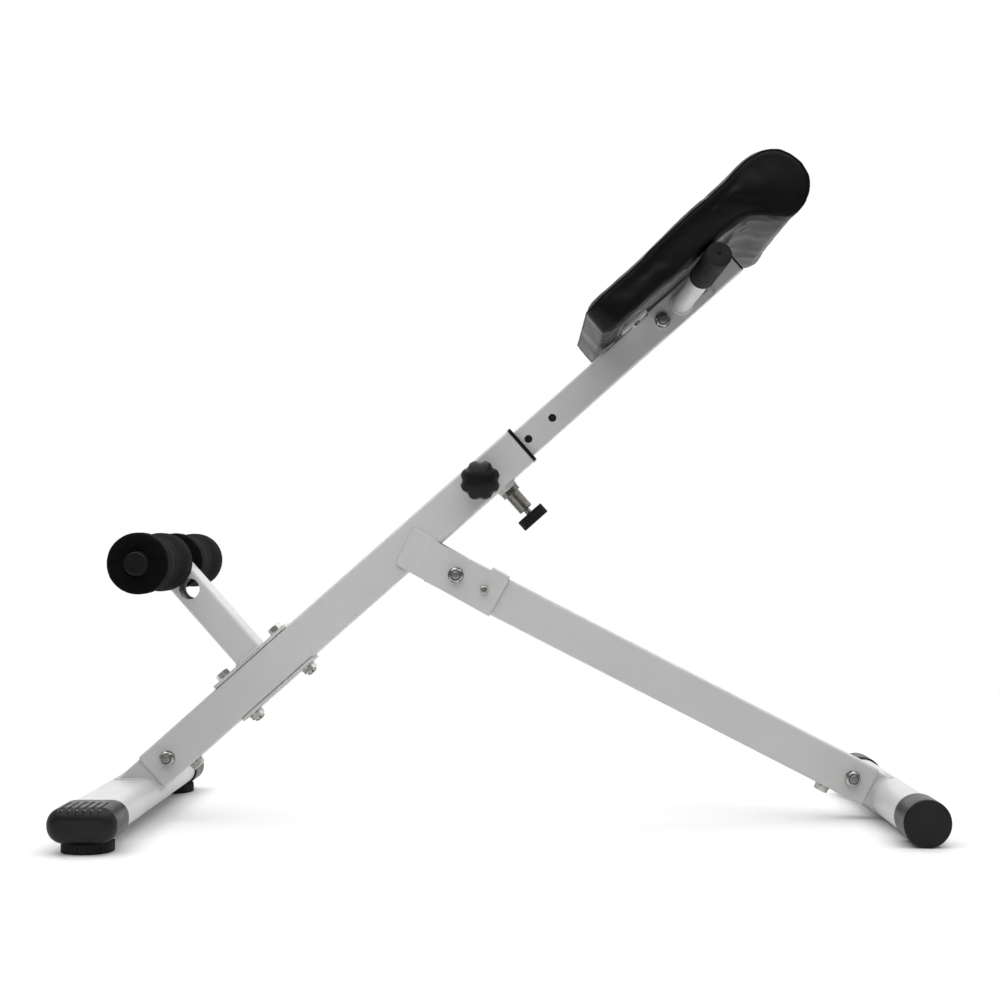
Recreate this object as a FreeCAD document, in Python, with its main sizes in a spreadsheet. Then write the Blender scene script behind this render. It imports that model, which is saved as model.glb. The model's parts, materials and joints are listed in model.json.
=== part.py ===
import FreeCAD, Part
import math
import os

import Sketcher

# Roman chair: an inclined main tube with a sliding mast, a folding front leg, two stabilisers and
# ankle rollers.
#
# Row frame: X runs from the rear stabiliser to the front one, Y from the user's right to left, Z up
# from the floor. Three tilted frames lie in the XZ plane: "rail" along the main tube (x up the tube,
# z square to it), "leg" along the front leg (x away from the pivot) and "bracket" along the leg
# bracket, which is a little steeper than the leg. All lengths are millimetres, all angles degrees.

os.makedirs("parts", exist_ok=True)

DIMENSIONS = {
    # Main tube and its place
    "rail_tilt": 41.5,
    "rail_x": -31.3,
    "rail_z": 426.5,
    "tube_side": 50.0,
    "tube_wall": 2.0,
    "tube_corner": 4.0,
    "tube_above": 65.5,
    "tube_below": 552.0,
    "bush_flange": 4.5,
    "bush_proud": 0.5,
    "bush_depth": 35.0,
    "slide_gap": 0.3,
    # Mast
    "mast_side": 38.0,
    "mast_wall": 2.0,
    "mast_corner": 3.0,
    "mast_above": 421.0,
    "mast_below": 150.0,
    "guide_length": 36.0,
    "hole_pitch": 40.0,
    "hole_across": 10.0,
    "knob_along": -1.0,
    "pin_along": 18.4,
    # Fasteners, all of the ten millimetre size
    "bolt_across": 10.0,
    "hole_for_bolt": 10.6,
    "head_flats": 16.0,
    "head_height": 6.4,
    "nut_flats": 16.5,
    "nut_height": 8.0,
    "washer_across": 20.0,
    "washer_thick": 1.8,
    "bolt_tail": 1.4,
    "turning_gap": 0.05,
    # Leg pivot and bracket
    "pivot_along": -102.3,
    "pivot_drop": 67.5,
    "bracket_tilt": -29.1,
    "bracket_back": 72.0,
    "bracket_front": 61.5,
    "bracket_half": 25.0,
    "bracket_thick": 3.0,
    "joggle_at": 50.0,
    "joggle_out": 0.5,
    "bridge_start": 36.0,
    "bridge_end": 60.6,
    "bridge_rise": 2.5,
    # Leg
    "leg_tilt": -27.148,
    "leg_back": 30.0,
    "leg_length": 584.0,
    "lock_along": 40.3,
    "leg_bolt_along": 558.6,
    "leg_lower_bolt": 534.0,
    # Front stabiliser
    "front_along": 614.0,
    "front_across": 50.8,
    "front_width": 462.0,
    "front_cap_across": 56.0,
    "front_cap_length": 60.0,
    "stub_side": 45.4,
    "stub_into_leg": 505.0,
    # Rear stabiliser
    "rear_x": -471.2,
    "rear_z": 33.2,
    "rear_wide": 75.0,
    "rear_tall": 36.0,
    "rear_width": 570.0,
    "rear_cap_wide": 80.0,
    "rear_cap_tall": 41.0,
    "rear_cap_length": 70.0,
    "rear_cap_corner": 19.5,
    "rear_cap_nose": 14.0,
    "groove_pitch": 8.6,
    "groove_wide": 2.4,
    "groove_deep": 1.7,
    "stub_into_tube": 490.0,
    "rear_bolt_along": -525.0,
    "rear_lower_bolt": -506.0,
    # Levelling feet
    "foot_across": 60.0,
    "foot_height": 12.3,
    "foot_y": 245.0,
    "foot_screw_top": 34.0,
    "foot_ribs": 36.0,
    # Roller post
    "post_along": -364.0,
    "post_wide": 38.0,
    "post_deep": 50.0,
    "post_top": 206.0,
    "plate_length": 119.0,
    "plate_thick": 4.0,
    "post_bolt_spread": 44.0,
    "axle_up": 186.0,
    "spare_axle_up": 141.0,
    "axle_across": 25.0,
    "axle_hole": 26.2,
    "axle_width": 396.0,
    # Rollers
    "foam_across": 72.0,
    "foam_waist": 63.0,
    "foam_length": 160.0,
    "foam_start": 32.0,
    "core_across": 29.0,
    # Pad
    "pad_low": 219.0,
    "pad_under": 22.4,
    "pad_over": 65.0,
    "pad_width": 400.0,
    "pad_corner": 25.0,
    "roll_along": 475.0,
    "roll_up": 24.0,
    "roll_radius": 44.0,
    "board_low": 230.0,
    "board_high": 422.0,
    "board_width": 376.0,
    "board_thick": 12.0,
    "bracket_low_along": 272.0,
    "bracket_high_along": 396.0,
    "pad_bracket_wide": 38.0,
    "pad_bracket_long": 130.0,
    "pad_screw_y": 50.0,
    # Handles
    "handle_low": 295.0,
    "handle_plate": 80.6,
    "handle_thick": 3.0,
    "handle_root": 335.0,
    "handle_end_along": 378.0,
    "handle_end_up": 6.0,
    "handle_end_y": 210.0,
    "handle_across": 25.0,
    "grip_across": 30.5,
    "grip_length": 87.0,
    "handle_bolt_low": 304.0,
    "handle_bolt_high": 366.5,
    # Pull pin
    "pin_across": 10.0,
    "pin_short": 0.4,
    "sleeve_across": 19.0,
    "sleeve_bore": 14.0,
    "sleeve_nut_flats": 21.0,
    "pull_knob_across": 38.0,
    "pull_knob_thick": 14.0,
    "pull_knob_down": 77.0,
    "spring_turns": 7.0,
    "spring_wire": 1.2,
    # Clamping screw
    "star_across": 50.0,
    "star_thick": 24.0,
    "star_y": 55.0,
    "star_lobes": 8.0,
    # Leg lock pin
    "lock_across": 10.0,
    "lock_knob_across": 26.0,
}

doc = FreeCAD.newDocument("roman_chair")
sheet = doc.addObject("Spreadsheet::Sheet", "dims")
for row, (word, value) in enumerate(DIMENSIONS.items(), start=1):
    sheet.set(f"A{row}", word)
    sheet.set(f"B{row}", str(value))
    sheet.setAlias(f"B{row}", word)
doc.recompute()

SUB_PARTS = []


class Size:
    """A length or angle that knows its present value and the sheet formula that it comes from."""

    def __init__(self, value, formula):
        self.value = float(value)
        self.formula = formula

    def __add__(self, other):
        other = sized(other)
        return Size(self.value + other.value, f"({self.formula} + {other.formula})")

    def __sub__(self, other):
        other = sized(other)
        return Size(self.value - other.value, f"({self.formula} - {other.formula})")

    def __mul__(self, other):
        other = sized(other)
        return Size(self.value * other.value, f"({self.formula} * {other.formula})")

    def __truediv__(self, other):
        other = sized(other)
        return Size(self.value / other.value, f"({self.formula} / {other.formula})")

    def __neg__(self):
        return Size(-self.value, f"(0 - {self.formula})")

    def __radd__(self, other):
        return sized(other) + self

    def __rsub__(self, other):
        return sized(other) - self

    def __rmul__(self, other):
        return sized(other) * self


def sized(number):
    """A plain number as a Size; a Size stays as it is."""
    return number if isinstance(number, Size) else Size(number, repr(float(number)))


def cell(word):
    """The Size of one cell of the sheet."""
    return Size(float(sheet.get(word)), f"dims.{word}")


def sine(angle):
    return Size(math.sin(math.radians(angle.value)), f"sin({angle.formula} * 1 deg)")


def cosine(angle):
    return Size(math.cos(math.radians(angle.value)), f"cos({angle.formula} * 1 deg)")


def min_size(first, second):
    return sized(first) if sized(first).value < sized(second).value else sized(second)


def max_size(first, second):
    return sized(second) if sized(first).value < sized(second).value else sized(first)


class Frame:
    """A frame in the XZ plane: an origin and a tilt of its x axis above the row's X axis."""

    def __init__(self, x, z, tilt):
        self.x, self.z, self.tilt = sized(x), sized(z), sized(tilt)

    def point(self, along, up):
        """Row coordinates x and z of a point given in this frame."""
        x = self.x + along * cosine(self.tilt) - up * sine(self.tilt)
        z = self.z + along * sine(self.tilt) + up * cosine(self.tilt)
        return x, z


FLOOR = Frame(0, 0, 0)
RAIL = Frame(cell("rail_x"), cell("rail_z"), cell("rail_tilt"))
PIVOT = RAIL.point(cell("pivot_along"), -cell("pivot_drop"))
LEG = Frame(*PIVOT, cell("leg_tilt"))
BRACKET = Frame(*PIVOT, cell("bracket_tilt"))

HALF_TUBE = cell("tube_side") / 2
HALF_MAST = cell("mast_side") / 2
BOLT_RADIUS = cell("bolt_across") / 2
BOLT_HOLE = cell("hole_for_bolt") / 2
LONG = 2000.0

# Turn that aims a solid made along z at each axis
AXES = {
    "x": (FreeCAD.Vector(0, 1, 0), 90),
    "y": (FreeCAD.Vector(1, 0, 0), -90),
    "z": (FreeCAD.Vector(0, 0, 1), 0),
}


def bind(obj, **sizes):
    """Binds properties of an object to sheet formulas."""
    for name, size in sizes.items():
        obj.setExpression(name.replace("__", "."), sized(size).formula)
        if "__" not in name:
            setattr(obj, name, sized(size).value)


def put(obj, x, y, z):
    """Binds the place of an object inside its own sub-part."""
    bind(obj, Placement__Base__x=x, Placement__Base__y=y, Placement__Base__z=z)


def sub_part(obj, label, frame, x=0, y=0, z=0):
    """Names a finished sub-part and places it in a frame of the chair."""
    obj.Label = label
    obj.Placement = FreeCAD.Placement(
        FreeCAD.Vector(0, 0, 0), FreeCAD.Rotation(FreeCAD.Vector(0, -1, 0), frame.tilt.value)
    )
    base_x, base_z = frame.point(sized(x), sized(z))
    put(obj, base_x, sized(y), base_z)
    if frame is not FLOOR:
        bind(obj, Placement__Rotation__Angle=frame.tilt)
    SUB_PARTS.append(obj)
    return obj


# Primitives and booleans


def block(name, xs, ys, zs):
    """Box between two limits on each axis."""
    box = doc.addObject("Part::Box", name)
    xs, ys, zs = ([sized(limit) for limit in limits] for limits in (xs, ys, zs))
    bind(box, Length=xs[1] - xs[0], Width=ys[1] - ys[0], Height=zs[1] - zs[0])
    put(box, xs[0], ys[0], zs[0])
    return box


def aim(obj, axis, start, across):
    """Turns a solid made along z to the named axis; `across` holds its other two coordinates."""
    vector, angle = AXES[axis]
    obj.Placement = FreeCAD.Placement(FreeCAD.Vector(0, 0, 0), FreeCAD.Rotation(vector, angle))
    place = {"x": (start, *across), "y": (across[0], start, across[1]), "z": (*across, start)}[axis]
    put(obj, *(sized(value) for value in place))
    return obj


def rod(name, radius, start, end, axis="z", across=(0, 0)):
    """Round bar between two limits on one axis."""
    bar = doc.addObject("Part::Cylinder", name)
    bind(bar, Radius=radius, Height=sized(end) - start)
    return aim(bar, axis, start, across)


def cone(name, radius_1, radius_2, start, end, axis="z", across=(0, 0)):
    body = doc.addObject("Part::Cone", name)
    bind(body, Radius1=radius_1, Radius2=radius_2, Height=sized(end) - start)
    return aim(body, axis, start, across)


def hexagon(name, flats, start, end, axis="z", across=(0, 0)):
    """Hexagonal bar measured across its flats."""
    bar = doc.addObject("Part::Prism", name)
    bar.Polygon = 6
    bind(bar, Circumradius=flats / 2 / cosine(sized(30)), Height=sized(end) - start)
    return aim(bar, axis, start, across)


def join(name, *shapes):
    fused = doc.addObject("Part::MultiFuse", name)
    fused.Shapes = list(shapes)
    return fused


def group(name, *shapes):
    """Separate solids that share one node."""
    pieces = doc.addObject("Part::Compound", name)
    pieces.Links = list(shapes)
    return pieces


def cut(name, base, *tools):
    result = doc.addObject("Part::Cut", name)
    result.Base = base
    result.Tool = tools[0] if len(tools) == 1 else join(name + "_tools", *tools)
    return result


def common(name, first, second):
    result = doc.addObject("Part::Common", name)
    result.Base = first
    result.Tool = second
    return result


def edge_numbers(obj, test):
    """Numbers of the edges that a test picks."""
    doc.recompute()
    return [number for number, edge in enumerate(obj.Shape.Edges, start=1) if test(edge)]


def rounded(name, base, radius, test):
    """Fillet on the edges that a test picks."""
    fillet = doc.addObject("Part::Fillet", name)
    numbers = edge_numbers(base, test)
    if not numbers:
        raise RuntimeError(f"{name} finds no edge")
    fillet.Base = base
    fillet.Edges = [(number, sized(radius).value, sized(radius).value) for number in numbers]
    return fillet


def runs_along(edge, direction):
    """True for a straight edge parallel to a direction."""
    if len(edge.Vertexes) != 2 or edge.Curve.TypeId != "Part::GeomLine":
        return False
    line = edge.Vertexes[1].Point - edge.Vertexes[0].Point
    return line.cross(FreeCAD.Vector(*direction)).Length < 1e-6 * line.Length


def is_round_edge(edge):
    return edge.Curve.TypeId == "Part::GeomCircle"


def round_of_radius(radius):
    """Test for circular edges of a radius."""

    def test(edge):
        return is_round_edge(edge) and abs(edge.Curve.Radius - sized(radius).value) < 0.01

    return test


# Fasteners


def hex_end(name, flats, start, end, axis, across):
    """Bolt head or nut body whose outer face, at `end`, is chamfered."""
    low, high = min_size(start, end), max_size(start, end)
    bar = hexagon(name + "_bar", flats, low, high, axis, across)
    small = flats * 0.47
    large = small + (high - low) * 1.8
    radii = (large, small) if sized(end).value > sized(start).value else (small, large)
    return common(name, bar, cone(name + "_bevel", *radii, low, high, axis, across))


def hex_bolt(name, seat, tip, axis, across):
    """Bolt whose head sits on `seat` and whose shank ends at `tip`."""
    away = 1 if sized(seat).value > sized(tip).value else -1
    top = sized(seat) + away * cell("head_height")
    head = hex_end(name + "_head", cell("head_flats"), seat, top, axis, across)
    shank = rod(name + "_shank", BOLT_RADIUS, min_size(seat, tip), max_size(seat, tip), axis, across)
    return join(name, head, shank)


def lock_nut(name, seat, away, axis, across):
    """Nut with a rounded collar for its locking ring, sitting on `seat`."""
    edge = sized(seat) + away * cell("nut_height") * 0.7
    end = sized(seat) + away * cell("nut_height")
    low, high = min_size(seat, end), max_size(seat, end)
    body = hex_end(name + "_body", cell("nut_flats"), seat, edge, axis, across)
    collar = rod(name + "_collar", cell("nut_flats") * 0.43, low, high, axis, across)
    bore = rod(name + "_bore", BOLT_RADIUS + 0.02, low - 1, high + 1, axis, across)
    return cut(name, join(name + "_outside", body, collar), bore)


def washer(name, seat, away, axis, across):
    end = sized(seat) + away * cell("washer_thick")
    low, high = min_size(seat, end), max_size(seat, end)
    disc = rod(name + "_disc", cell("washer_across") / 2, low, high, axis, across)
    return cut(name, disc, rod(name + "_bore", BOLT_RADIUS + 0.2, low - 1, high + 1, axis, across))


# Part Design bodies


def new_body(name):
    return doc.addObject("PartDesign::Body", name)


def origin_plane(body, role):
    return next(item for item in body.Origin.OriginFeatures if item.Role == role)


def new_sketch(body, name, role, offset=0):
    """Sketch on one of the body's own origin planes, moved along that plane's normal."""
    sketch = body.newObject("Sketcher::SketchObject", name)
    sketch.AttachmentSupport = [(origin_plane(body, role), "")]
    sketch.MapMode = "FlatFace"
    sketch.setExpression("AttachmentOffset.Base.z", sized(offset).formula)
    return sketch


def pin_down(sketch, kind, geometry, point, size):
    """One coordinate of a sketch point, bound to the sheet."""
    index = sketch.addConstraint(Sketcher.Constraint(kind, geometry, point, sized(size).value))
    sketch.setExpression(f"Constraints[{index}]", sized(size).formula)


def polygon(sketch, corners):
    """Closed outline with straight sides through corners given as pairs of sizes."""
    corners = [(sized(x), sized(y)) for x, y in corners]
    points = [FreeCAD.Vector(x.value, y.value, 0) for x, y in corners]
    first = sketch.GeometryCount
    count = len(points)
    for number, point in enumerate(points):
        sketch.addGeometry(Part.LineSegment(point, points[(number + 1) % count]), False)
    for number in range(count):
        after = first + (number + 1) % count
        sketch.addConstraint(Sketcher.Constraint("Coincident", first + number, 2, after, 1))
    for number, (x, y) in enumerate(corners):
        pin_down(sketch, "DistanceX", first + number, 1, x)
        pin_down(sketch, "DistanceY", first + number, 1, y)


def circle(sketch, x, y, radius):
    x, y, radius = sized(x), sized(y), sized(radius)
    shape = Part.Circle(FreeCAD.Vector(x.value, y.value, 0), FreeCAD.Vector(0, 0, 1), radius.value)
    index = sketch.addGeometry(shape, False)
    pin_down(sketch, "DistanceX", index, 3, x)
    pin_down(sketch, "DistanceY", index, 3, y)
    bound = sketch.addConstraint(Sketcher.Constraint("Radius", index, radius.value))
    sketch.setExpression(f"Constraints[{bound}]", radius.formula)


def round_cornered(sketch, width, height, corner):
    """Rectangle about the origin with rounded corners."""
    half_x, half_y, corner = sized(width) / 2, sized(height) / 2, sized(corner)
    x, y, r = half_x.value, half_y.value, corner.value
    signs = [(1, 1), (-1, 1), (-1, -1), (1, -1)]
    first = sketch.GeometryCount
    for number, (sx, sy) in enumerate(signs):
        centre = FreeCAD.Vector(sx * (x - r), sy * (y - r), 0)
        turn = number * math.pi / 2
        round_end = Part.Circle(centre, FreeCAD.Vector(0, 0, 1), r)
        sketch.addGeometry(Part.ArcOfCircle(round_end, turn, turn + math.pi / 2), False)
    for number in range(4):
        start = sketch.getPoint(first + number, 2)
        end = sketch.getPoint(first + (number + 1) % 4, 1)
        sketch.addGeometry(Part.LineSegment(start, end), False)
    for number in range(4):
        line = first + 4 + number
        sketch.addConstraint(Sketcher.Constraint("Tangent", first + number, 2, line, 1))
        sketch.addConstraint(Sketcher.Constraint("Tangent", line, 2, first + (number + 1) % 4, 1))
        sketch.addConstraint(Sketcher.Constraint("Horizontal" if number % 2 == 0 else "Vertical", line))
        if number:
            sketch.addConstraint(Sketcher.Constraint("Equal", first, first + number))
    bound = sketch.addConstraint(Sketcher.Constraint("Radius", first, r))
    sketch.setExpression(f"Constraints[{bound}]", corner.formula)
    pin_down(sketch, "DistanceY", first + 4, 1, half_y)
    pin_down(sketch, "DistanceX", first + 5, 1, -half_x)
    pin_down(sketch, "DistanceY", first + 6, 1, -half_y)
    pin_down(sketch, "DistanceX", first + 7, 1, half_x)


def feature(body, kind, name, sketch, **sizes):
    """Pad, Pocket, Revolution or Groove made from one sketch."""
    made = body.newObject("PartDesign::" + kind, name)
    made.Profile = (sketch, [""])
    bind(made, **sizes)
    body.Tip = made
    return made


def pad(body, name, sketch, length, reverse=False, both_ways=False):
    made = feature(body, "Pad", name, sketch, Length=length)
    made.Reversed = reverse
    made.SideType = "Symmetric" if both_ways else "One side"
    return made


def pocket(body, name, sketch, length, reverse=False, both_ways=False):
    """Pocket that must take material away."""
    doc.recompute()
    before = body.Shape.Volume
    made = feature(body, "Pocket", name, sketch, Length=length)
    made.Reversed = reverse
    made.SideType = "Symmetric" if both_ways else "One side"
    doc.recompute()
    if body.Shape.Volume > before - 1e-3:
        raise RuntimeError(f"{name} takes nothing away")
    return made


def revolve(body, name, sketch, axis):
    made = body.newObject("PartDesign::Revolution", name)
    made.Profile = (sketch, [""])
    made.ReferenceAxis = (sketch, [axis])
    made.Angle = 360.0
    body.Tip = made
    return made


def fillet(body, name, radius, test):
    """Rounds the edges of the body's present shape that a test picks."""
    base = body.Tip
    edges = [f"Edge{number}" for number in edge_numbers(body, test)]
    if not edges:
        raise RuntimeError(f"{name} finds no edge")
    made = body.newObject("PartDesign::Fillet", name)
    made.Base = (base, edges)
    bind(made, Radius=radius)
    body.Tip = made
    return made


def polar(body, name, sketch, original, count):
    made = body.newObject("PartDesign::PolarPattern", name)
    made.Originals = [original]
    made.Axis = (sketch, ["N_Axis"])
    made.Angle = 360.0
    made.Occurrences = round(sized(count).value)
    made.setExpression("Occurrences", sized(count).formula)
    body.Tip = made
    return made


def holes(body, name, role, centres, radius, reverse=None):
    """Round holes square to an origin plane: right through, or to one side of the plane only."""
    sketch = new_sketch(body, name + "_places", role)
    for x, y in centres:
        circle(sketch, x, y, radius)
    if reverse is None:
        return pocket(body, name, sketch, LONG, both_ways=True)
    return pocket(body, name, sketch, LONG / 2, reverse=reverse)


def square_tube(name, width, height, wall, corner, start, end):
    """Hollow tube along x with rounded corners; width is along y and height along z."""
    body = new_body(name)
    sketch = new_sketch(body, name + "_section", "YZ_Plane", start)
    round_cornered(sketch, width, height, corner)
    round_cornered(sketch, width - wall * 2, height - wall * 2, corner - wall * 0.8)
    pad(body, name + "_length", sketch, sized(end) - start)
    return body


# Frame that stands on the floor


def make_main_tube():
    body = square_tube(
        "main_tube_body",
        cell("tube_side"),
        cell("tube_side"),
        cell("tube_wall"),
        cell("tube_corner"),
        -cell("tube_below"),
        cell("tube_above"),
    )
    holes(body, "rear_bolt_hole", "XZ_Plane", [(cell("rear_bolt_along"), 0)], BOLT_HOLE)
    post = cell("post_along")
    spread = cell("post_bolt_spread")
    holes(body, "post_bolt_holes", "XY_Plane", [(post - spread, 0), (post + spread, 0)], BOLT_HOLE)
    holes(body, "rear_lower_hole", "XY_Plane", [(cell("rear_lower_bolt"), 0)], BOLT_HOLE, reverse=False)
    holes(body, "pull_pin_hole", "XY_Plane", [(cell("pin_along"), 0)], BOLT_HOLE + 0.7, reverse=False)
    holes(body, "clamp_screw_hole", "XZ_Plane", [(cell("knob_along"), 0)], BOLT_HOLE + 0.7, reverse=True)
    sub_part(body, "main_tube", RAIL)


def make_tube_bush():
    """Moulded bush in the tube's mouth: a square sleeve with a flange."""
    mouth = cell("mast_side") + cell("slide_gap") * 2
    sleeve_side = cell("tube_side") - cell("tube_wall") * 2 - 0.2
    flange_side = cell("tube_side") + cell("bush_proud") * 2
    body = new_body("tube_bush_body")
    sleeve = new_sketch(body, "bush_sleeve_section", "YZ_Plane", cell("tube_above") - cell("bush_depth"))
    round_cornered(sleeve, sleeve_side, sleeve_side, 2.4)
    round_cornered(sleeve, mouth, mouth, cell("mast_corner") + 0.3)
    pad(body, "bush_sleeve", sleeve, cell("bush_depth"))
    flange = new_sketch(body, "bush_flange_section", "YZ_Plane", cell("tube_above"))
    round_cornered(flange, flange_side, flange_side, cell("tube_corner"))
    round_cornered(flange, mouth, mouth, cell("mast_corner") + 0.3)
    pad(body, "bush_flange_pad", flange, cell("bush_flange"))
    sub_part(body, "tube_bush", RAIL)


def make_leg_bracket():
    """Two joggled side plates, joined by a raised bridge that stops the leg."""
    inside = HALF_TUBE + cell("joggle_out")
    thick = cell("bracket_thick")
    low = -cell("bracket_half")
    top = cell("bracket_half") + cell("bridge_rise") + thick
    body = new_body("leg_bracket_body")
    bridge = new_sketch(body, "bridge_section", "YZ_Plane", cell("bridge_start"))
    under = cell("bracket_half") + cell("bridge_rise")
    outside = inside + thick
    section = [
        (-outside, low + 4),
        (-inside, low + 4),
        (-inside, under),
        (inside, under),
        (inside, low + 4),
        (outside, low + 4),
        (outside, top),
        (-outside, top),
    ]
    polygon(bridge, section)
    pad(body, "bridge_pad", bridge, cell("bridge_end") - cell("bridge_start"))
    fillet(
        body,
        "bridge_fold",
        2.8,
        lambda edge: runs_along(edge, (1, 0, 0)) and abs(edge.CenterOfMass.z - top.value) < 0.01,
    )
    plates = new_sketch(body, "plate_outline", "XY_Plane", low)
    crease = -cell("joggle_at")
    for side in (1, -1):
        outline = [
            (-cell("bracket_back"), side * HALF_TUBE),
            (crease, side * HALF_TUBE),
            (crease + 3, side * inside),
            (cell("bracket_front"), side * inside),
            (cell("bracket_front"), side * outside),
            (crease + 2.4, side * outside),
            (crease - 0.6, side * (HALF_TUBE + thick)),
            (-cell("bracket_back"), side * (HALF_TUBE + thick)),
        ]
        polygon(plates, outline)
    pad(body, "plates_pad", plates, cell("bracket_half") * 2)
    holes(body, "pivot_hole", "XZ_Plane", [(0, 0)], BOLT_RADIUS + 0.1)
    turned = cell("leg_tilt") - cell("bracket_tilt")
    lock_x = cell("lock_along") * cosine(turned)
    lock_z = cell("lock_along") * sine(turned)
    holes(body, "lock_hole", "XZ_Plane", [(lock_x, lock_z)], cell("lock_across") / 2 + 0.1)
    sub_part(body, "leg_bracket", BRACKET)


def make_rear_stabiliser():
    """Flat-oval cross tube with the stub that goes up inside the main tube."""
    half_x, half_z = cell("rear_wide") / 2, cell("rear_tall") / 2
    half_y = cell("rear_width") / 2 - 8
    wall = cell("tube_wall")

    def oval(name, less, reach):
        flat = half_x - half_z
        radius = half_z - less
        middle = block(name + "_flat", (-flat, flat), (-reach, reach), (-radius, radius))
        ends = [rod(name + f"_end_{side}", radius, -reach, reach, "y", (side * flat, 0)) for side in (-1, 1)]
        return join(name, middle, *ends)

    shell = cut("rear_oval", oval("rear_oval_outside", 0, half_y), oval("rear_oval_inside", wall, half_y + 1))
    screw_hole = BOLT_RADIUS + cell("turning_gap") * 2
    drills = []
    bosses = []
    for side in (-1, 1):
        across = (0, side * cell("foot_y"))
        bosses.append(rod(f"foot_boss_{side}", 9, -half_z + wall - 0.5, -half_z + wall + 10, "z", across))
        drills.append(rod(f"foot_drill_{side}", screw_hole, -half_z - 1, half_z - 6, "z", across))
    floor_part = cut("rear_cross", join("rear_with_bosses", shell, *bosses), *drills)
    start_x, start_z = rear_in_rail()
    top = -cell("stub_into_tube") - start_x
    hollow = square_tube("rear_stub_tube", cell("stub_side"), cell("stub_side"), wall, 3, -4, top)
    bolt_y = rod("rear_stub_bolt_hole", BOLT_HOLE, -100, 100, "y", (cell("rear_bolt_along") - start_x, 0))
    bolt_z = rod("rear_stub_lower_hole", BOLT_HOLE, -100, 0, "z", (cell("rear_lower_bolt") - start_x, 0))
    drilled = cut("rear_stub_drilled", hollow, bolt_y, bolt_z)
    drilled.Placement = FreeCAD.Placement(
        FreeCAD.Vector(0, 0, 0), FreeCAD.Rotation(FreeCAD.Vector(0, -1, 0), cell("rail_tilt").value)
    )
    bind(drilled, Placement__Rotation__Angle=cell("rail_tilt"))
    put(drilled, start_z * sine(cell("rail_tilt")), 0, -start_z * cosine(cell("rail_tilt")))
    stub = cut("rear_stub", drilled, oval("rear_oval_space", 0.4, half_y))
    whole = join("rear_stabiliser_body", floor_part, stub)
    sub_part(whole, "rear_stabiliser", FLOOR, cell("rear_x"), 0, cell("rear_z"))


def rear_in_rail():
    """Place of the rear stabiliser's axis in the rail frame: along the tube and square to it."""
    dx = cell("rear_x") - RAIL.x
    dz = cell("rear_z") - RAIL.z
    tilt = cell("rail_tilt")
    return dx * cosine(tilt) + dz * sine(tilt), dz * cosine(tilt) - dx * sine(tilt)


def make_rear_cap(label, side):
    """Moulded end cap, open towards the middle, with grooves that run lengthwise over its rounded nose."""
    length = cell("rear_cap_length")
    tall = cell("rear_cap_tall")
    body = new_body(label + "_body")
    sketch = new_sketch(body, label + "_section", "XZ_Plane", 0)
    round_cornered(sketch, cell("rear_cap_wide"), tall, cell("rear_cap_corner"))
    pad(body, label + "_block", sketch, length, reverse=side > 0)
    outer = side * length.value

    def end_edge(edge):
        return all(abs(vertex.Point.y - outer) < 0.01 for vertex in edge.Vertexes)

    fillet(body, label + "_nose", cell("rear_cap_nose"), end_edge)
    for number in range(6):
        place = number - 2.5
        groove = new_sketch(body, f"{label}_groove_{number}", "YZ_Plane", cell("groove_pitch") * place)
        polygon(groove, groove_outline(side, length, tall / 2, place))
        pocket(body, f"{label}_groove_cut_{number}", groove, cell("groove_wide"), both_ways=True)
    hollow = new_sketch(body, label + "_hollow", "XZ_Plane", 0)
    fit = 0.1
    round_cornered(hollow, cell("rear_wide") + fit, cell("rear_tall") + fit, cell("rear_tall") / 2)
    pocket(body, label + "_socket", hollow, length - 8 + fit, reverse=side < 0)
    foot = new_sketch(body, label + "_foot_hole", "XY_Plane", 0)
    foot_y = side * (cell("foot_y") - (cell("rear_width") / 2 - length))
    circle(foot, 0, foot_y, BOLT_RADIUS + cell("turning_gap") * 2)
    pocket(body, label + "_foot_cut", foot, 60, reverse=False)
    start_y = side * (cell("rear_width") / 2 - length)
    sub_part(body, label, FLOOR, cell("rear_x"), start_y, cell("rear_z"))


def groove_outline(side, length, top, place):
    """Side view of one groove: flat on top of the cap, then round its nose; outer grooves are shorter."""
    nose = cell("rear_cap_nose")
    floor = nose - cell("groove_deep")
    centre_y, centre_z = length - nose, top - nose
    shorter = abs(place)
    bottom = [(sized(14 + 3 * shorter), centre_z + floor)]
    steps = 6
    lowest = 18 + 7 * shorter
    for step in range(steps + 1):
        angle = math.radians(90 + (lowest - 90) * step / steps)
        bottom.append((centre_y + floor * math.cos(angle), centre_z + floor * math.sin(angle)))
    beyond = nose + 6
    last = math.radians(lowest)
    outside = [
        (centre_y + beyond * math.cos(last), centre_z + beyond * math.sin(last)),
        (length + 6, top + 6),
        (bottom[0][0], top + 6),
    ]
    return [(side * y, z) for y, z in bottom + outside]


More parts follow.
